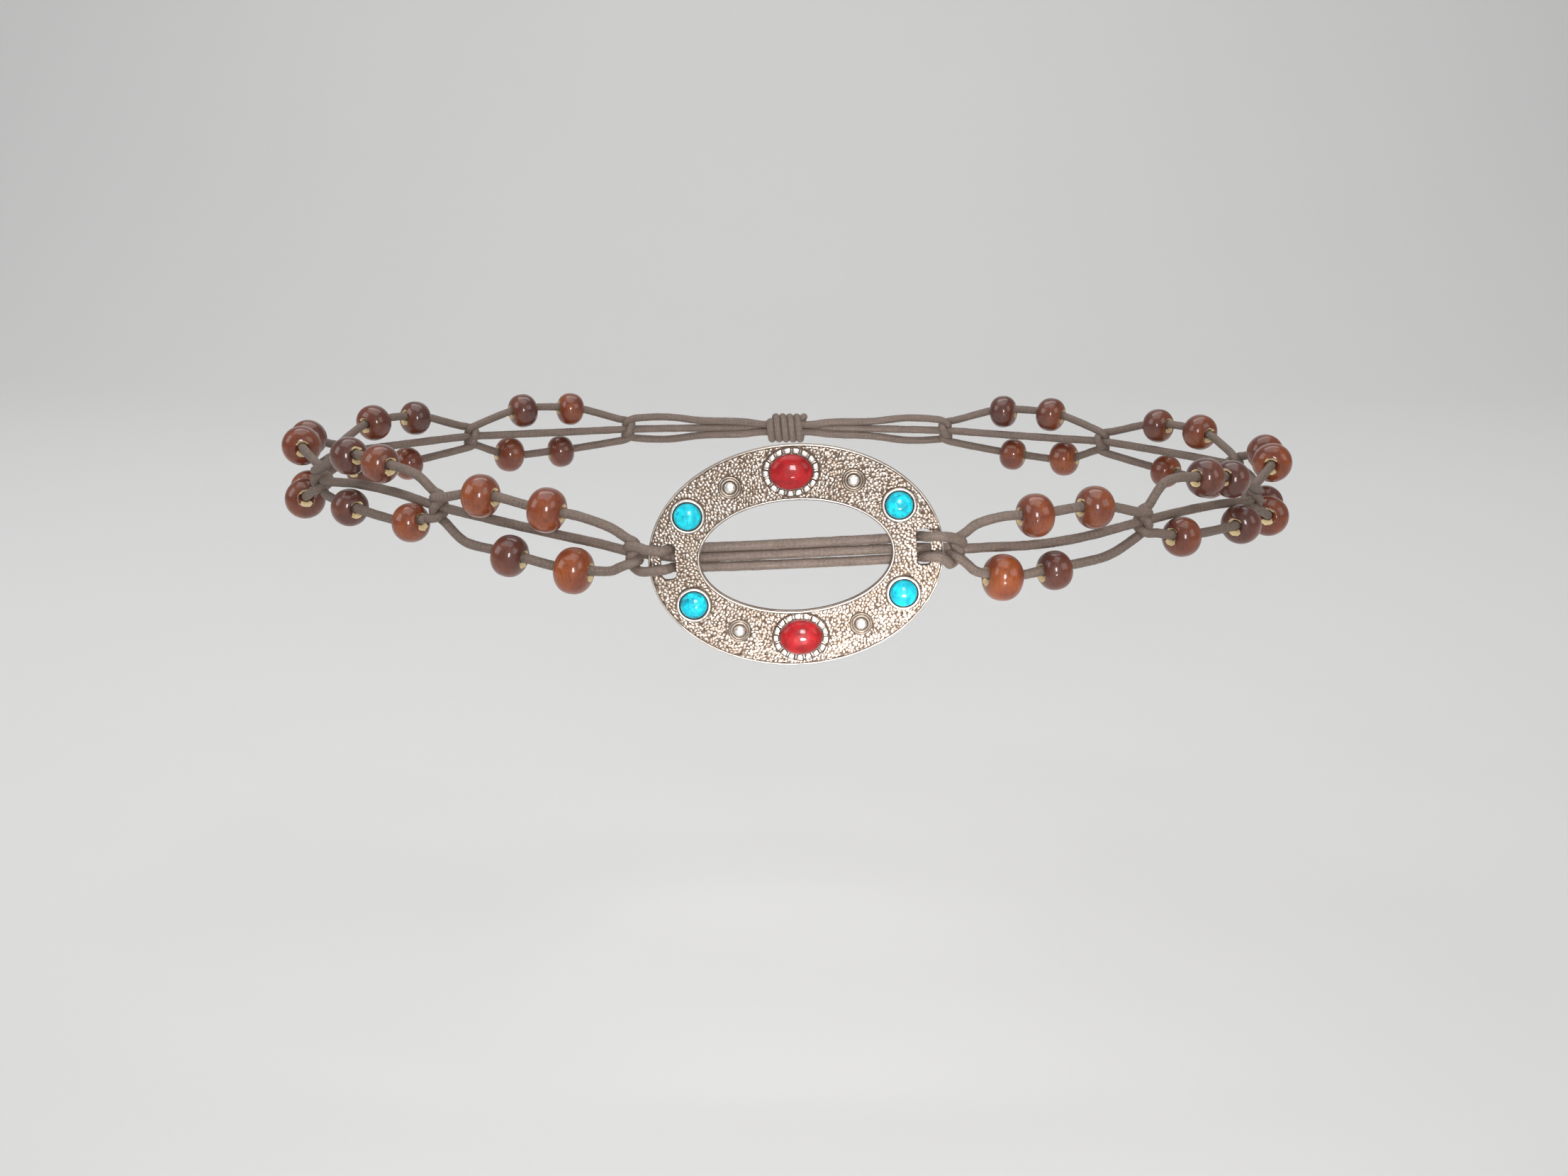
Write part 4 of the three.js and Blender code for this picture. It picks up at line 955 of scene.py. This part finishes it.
def bezel_red(build, u, v):
    """A thin collar that holds the stone, and a border of 17 blocks with a rib between each two on a sunk floor."""
    collar = [(-0.28, -0.4), (0.04, -0.4), (0.06, 0.62), (0.02, 0.86), (-0.08, 0.94), (-0.19, 0.88), (-0.24, 0.6)]
    verts, quads = ring_shell(collar, 96, 6.0, 5.0)
    verts[:, 0] += u; verts[:, 1] += v
    build.add(plate_world(verts), quads=quads, high=np.clip(0.15 + verts[:, 2] * 0.8, 0.05, 0.9))
    floor_ = [(0.02, -0.4), (1.70, -0.4), (1.72, 0.02), (1.62, 0.10), (0.10, 0.12)]
    verts, quads = ring_shell(floor_, 96, 6.0, 5.0)
    verts[:, 0] += u; verts[:, 1] += v
    build.add(plate_world(verts), quads=quads, high=0.04)
    count = 17
    fine = np.linspace(0, 2 * np.pi, 4001)
    ln = np.concatenate([[0], np.cumsum(np.hypot(np.diff(6.78 * np.cos(fine)), np.diff(5.78 * np.sin(fine))))])
    g = np.random.default_rng(int(60 + v))
    pitch = ln[-1] / count
    for i in range(count):
        for part in ("block", "rib"):
            k = i + (0.5 + g.uniform(-.05, .05) if part == "block" else 0.0)
            a = np.interp(k * pitch, ln, fine)
            nx, ny = math.cos(a) / 6.78, math.sin(a) / 5.78
            n = math.hypot(nx, ny)
            nx, ny = nx / n, ny / n
            turn = math.atan2(nx, -ny)      # the block's length lies along the border, its far side inwards
            if part == "block":
                at = (u + 6.78 * math.cos(a), v + 5.78 * math.sin(a), 0.30)
                rounded_box(build, at, (pitch / 2 - 0.34 + g.uniform(-.05, .05), 0.68 + g.uniform(-.04, .04), 0.82 + g.uniform(-.06, .04)),
                            turn, 1.0, flare=0.14, n=6)
            else:
                at = (u + 6.70 * math.cos(a), v + 5.70 * math.sin(a), 0.10)
                rounded_box(build, at, (0.15, 0.62, 0.42), turn, 0.75, n=3)


def bezel_turquoise(build, u, v):
    """A broad smooth ring, a dark gap and a low row of fine teeth that hold the stone."""
    broad = [(3.80, -0.4), (4.70, -0.4), (4.73, 0.35), (4.68, 0.70), (4.56, 0.93), (4.34, 1.04), (4.10, 1.02), (3.92, 0.90), (3.82, 0.68), (3.79, 0.3)]
    verts, quads = ring_shell(broad, 96)
    dark = np.hypot(verts[:, 0], verts[:, 1]) < 3.97     # painted shade in the line beside the stone, given the tarnish colour
    verts[:, 0] += u; verts[:, 1] += v
    build.add(plate_world(verts), quads=quads, high=np.where(dark, 0.08, np.clip(0.35 + verts[:, 2] * 0.9, 0.1, 1.0)))
    gap = [(3.3, -0.4), (3.90, -0.4), (3.90, 0.32), (3.3, 0.32)]
    verts, quads = ring_shell(gap, 64)
    verts[:, 0] += u; verts[:, 1] += v
    build.add(plate_world(verts), quads=quads, high=0.0)
    count = 42
    for i in range(count):
        a = 2 * np.pi * (i + 0.5) / count
        rounded_box(build, (u + 3.72 * math.cos(a), v + 3.72 * math.sin(a), 0.44), (0.15, 0.07, 0.30), a + np.pi / 2, 0.12, n=3)


def stud(build, u, v):
    """A low dome within two thin raised rings."""
    dome = [(0, -0.4), (1.50, -0.4), (1.54, 0.30), (1.51, 0.58), (1.40, 0.80), (1.18, 0.94), (0.84, 1.01), (0.42, 1.04), (0, 1.05)]
    verts, tris, quads = lathe(dome, 48)
    verts[:, 0] += u; verts[:, 1] += v
    build.add(plate_world(verts), tris=tris, quads=quads, high=np.clip(0.40 + verts[:, 2] * 0.9, 0.4, 1.0))
    base = [(1.4, -0.4), (3.05, -0.4), (3.05, 0.00), (3.00, 0.20), (2.86, 0.33), (2.70, 0.26), (2.60, 0.08), (2.46, 0.03), (2.34, 0.10),
            (2.26, 0.34), (2.11, 0.46), (1.96, 0.38), (1.86, 0.14), (1.74, 0.04), (1.4, 0.04)]
    verts, quads = ring_shell(base, 64)
    verts[:, 0] += u; verts[:, 1] += v
    build.add(plate_world(verts), quads=quads, high=np.clip((verts[:, 2] + 0.08) * 2.4, 0.30, 0.98))


def slot_prism(u0):
    """A closed prism with the slot's outline, longer than the plate is thick."""
    w, h, c = SLOT_W / 2, SLOT_H / 2, SLOT_CORNER
    pts = []
    for x, y, start in ((w - c, h - c, 0), (-w + c, h - c, 90), (-w + c, -h + c, 180), (w - c, -h + c, 270)):
        for turn in np.linspace(0, 90, 9):
            a = math.radians(start + turn)
            pts.append((u0 + x + c * math.cos(a), SLOT_V + y + c * math.sin(a)))
    n = len(pts)
    lo = np.array([(x, y, -PLATE_T - 1.0) for x, y in pts]); hi = np.array([(x, y, 1.0) for x, y in pts])
    verts = np.concatenate([lo, hi, [[u0, SLOT_V, -PLATE_T - 1.0]], [[u0, SLOT_V, 1.0]]])
    i = np.arange(n); j = (i + 1) % n
    quads = np.stack([i, j, j + n, i + n], 1)
    tris = np.concatenate([np.stack([np.full(n, 2 * n), j, i], 1), np.stack([np.full(n, 2 * n + 1), i + n, j + n], 1)])
    return verts, tris, quads


def make_plate():
    verts, wear, rows, around = plate_mesh()
    body = Build("high")
    quads = grid_quads(rows, around, True, True)[:, ::-1]
    body.add(plate_world(verts), quads=quads, high=wear)
    obj = body.object("oval_ring_plate_cast", SILVER)
    for u0 in (-SLOT_U, SLOT_U):
        cut = Build()
        v, t, q = slot_prism(u0)
        cut.add(plate_world(v), tris=t, quads=q)
        tool = cut.object("slot_cut", SILVER)
        mod = obj.modifiers.new("slot", "BOOLEAN")
        mod.operation, mod.object, mod.solver = "DIFFERENCE", tool, "MANIFOLD"
        dg = bpy.context.evaluated_depsgraph_get()
        mesh = bpy.data.meshes.new_from_object(obj.evaluated_get(dg))
        obj.modifiers.remove(mod)
        obj.data = mesh
        bpy.data.objects.remove(tool)
    mesh = obj.data
    co = np.zeros(len(mesh.vertices) * 3, np.float32)
    mesh.vertices.foreach_get("co", co)
    co = co.reshape(-1, 3).astype(float) / MM
    print("plate after the slots:", len(co), "vertices,", len(mesh.polygons), "faces")
    rest = Build("high")
    for name, kind, u, v, rx, ry, high in STONES:
        (bezel_red if kind == "red" else bezel_turquoise)(rest, u, v)
    for u, v in STUDS:
        stud(rest, u, v)
    extra = rest.object("bezels", SILVER)
    bpy.ops.object.select_all(action="DESELECT")
    obj.select_set(True); extra.select_set(True)
    bpy.context.view_layer.objects.active = obj
    bpy.ops.object.join()
    obj.data.set_sharp_from_angle(angle=math.radians(48))
    return finish_piece(obj, "antique_silver", "oval_ring_plate")


make_plate()

# ---------------------------------------------------------------- floor and light
FLOOR_Z = -0.150


def make_floor():
    """A pale floor that sweeps up behind into a backdrop."""
    y = np.concatenate([np.linspace(-3.2, 1.4, 12), 1.4 + 1.1 * np.sin(np.linspace(0.12, np.pi / 2, 14)), [2.5]])
    z = np.concatenate([np.zeros(12), 1.1 - 1.1 * np.cos(np.linspace(0.12, np.pi / 2, 14)), [4.2]]) + FLOOR_Z
    x = np.array([-4.0, 4.0])
    P = np.array([[(xx, yy, zz) for xx in x] for yy, zz in zip(y, z)]).reshape(-1, 3)
    b = Build()
    b.add(P / MM, quads=grid_quads(len(y), 2, False))
    m, nt, bs = material("studio_floor")
    x_ = Nodes(nt)
    n = x_.noise(x_.coord(), 2.5, 2, 0.5)
    x_.link(x_.mix(n, (0.79, 0.785, 0.775), (0.81, 0.805, 0.795)), bs.inputs["Base Color"])
    bs.inputs["Roughness"].default_value = 0.85
    bs.inputs["Specular IOR Level"].default_value = 0.2
    o = b.object("floor", m)


make_floor()


def soft_light(name, place_, look, size, power, color=(1, 1, 1), spread=180):
    data = bpy.data.lights.new(name, "AREA")
    data.shape = "RECTANGLE"
    data.size, data.size_y = size
    data.energy = power
    data.color = color
    data.spread = math.radians(spread)
    o = bpy.data.objects.new(name, data)
    bpy.context.scene.collection.objects.link(o)
    o.location = place_
    from mathutils import Vector
    o.rotation_euler = (Vector(look) - Vector(place_)).to_track_quat("-Z", "Y").to_euler()
    o.visible_camera = False
    return o


soft_light("softbox_over", (-0.15, -0.25, 1.7), (0, 0.1, 0), (1.9, 1.3), 11.2)
soft_light("softbox_side", (1.3, -0.9, 0.75), (0, 0, 0), (0.9, 0.9), 4.6, (1.0, 0.98, 0.95))
soft_light("softbox_left", (-1.4, -0.5, 0.8), (0, 0, 0), (0.9, 0.9), 6.0, (0.96, 0.98, 1.0))
soft_light("softbox_back", (0.0, 0.9, 2.2), (0, 2.1, 0.3), (2.4, 1.2), 22)
soft_light("card_low", (0.045, -0.45, -0.118), (0.020, -0.10, -0.028), (0.08, 0.03), 0.012, spread=14)
soft_light("key_small", (0.04, -0.62, 0.125), (0, -0.1, 0), (0.12, 0.19), 0.24, spread=64)

world = bpy.data.worlds.new("studio")
bpy.context.scene.world = world
world.use_nodes = True
bg = world.node_tree.nodes["Background"]
bg.inputs["Color"].default_value = (0.95, 0.97, 1.0, 1)
bg.inputs["Strength"].default_value = 0.225
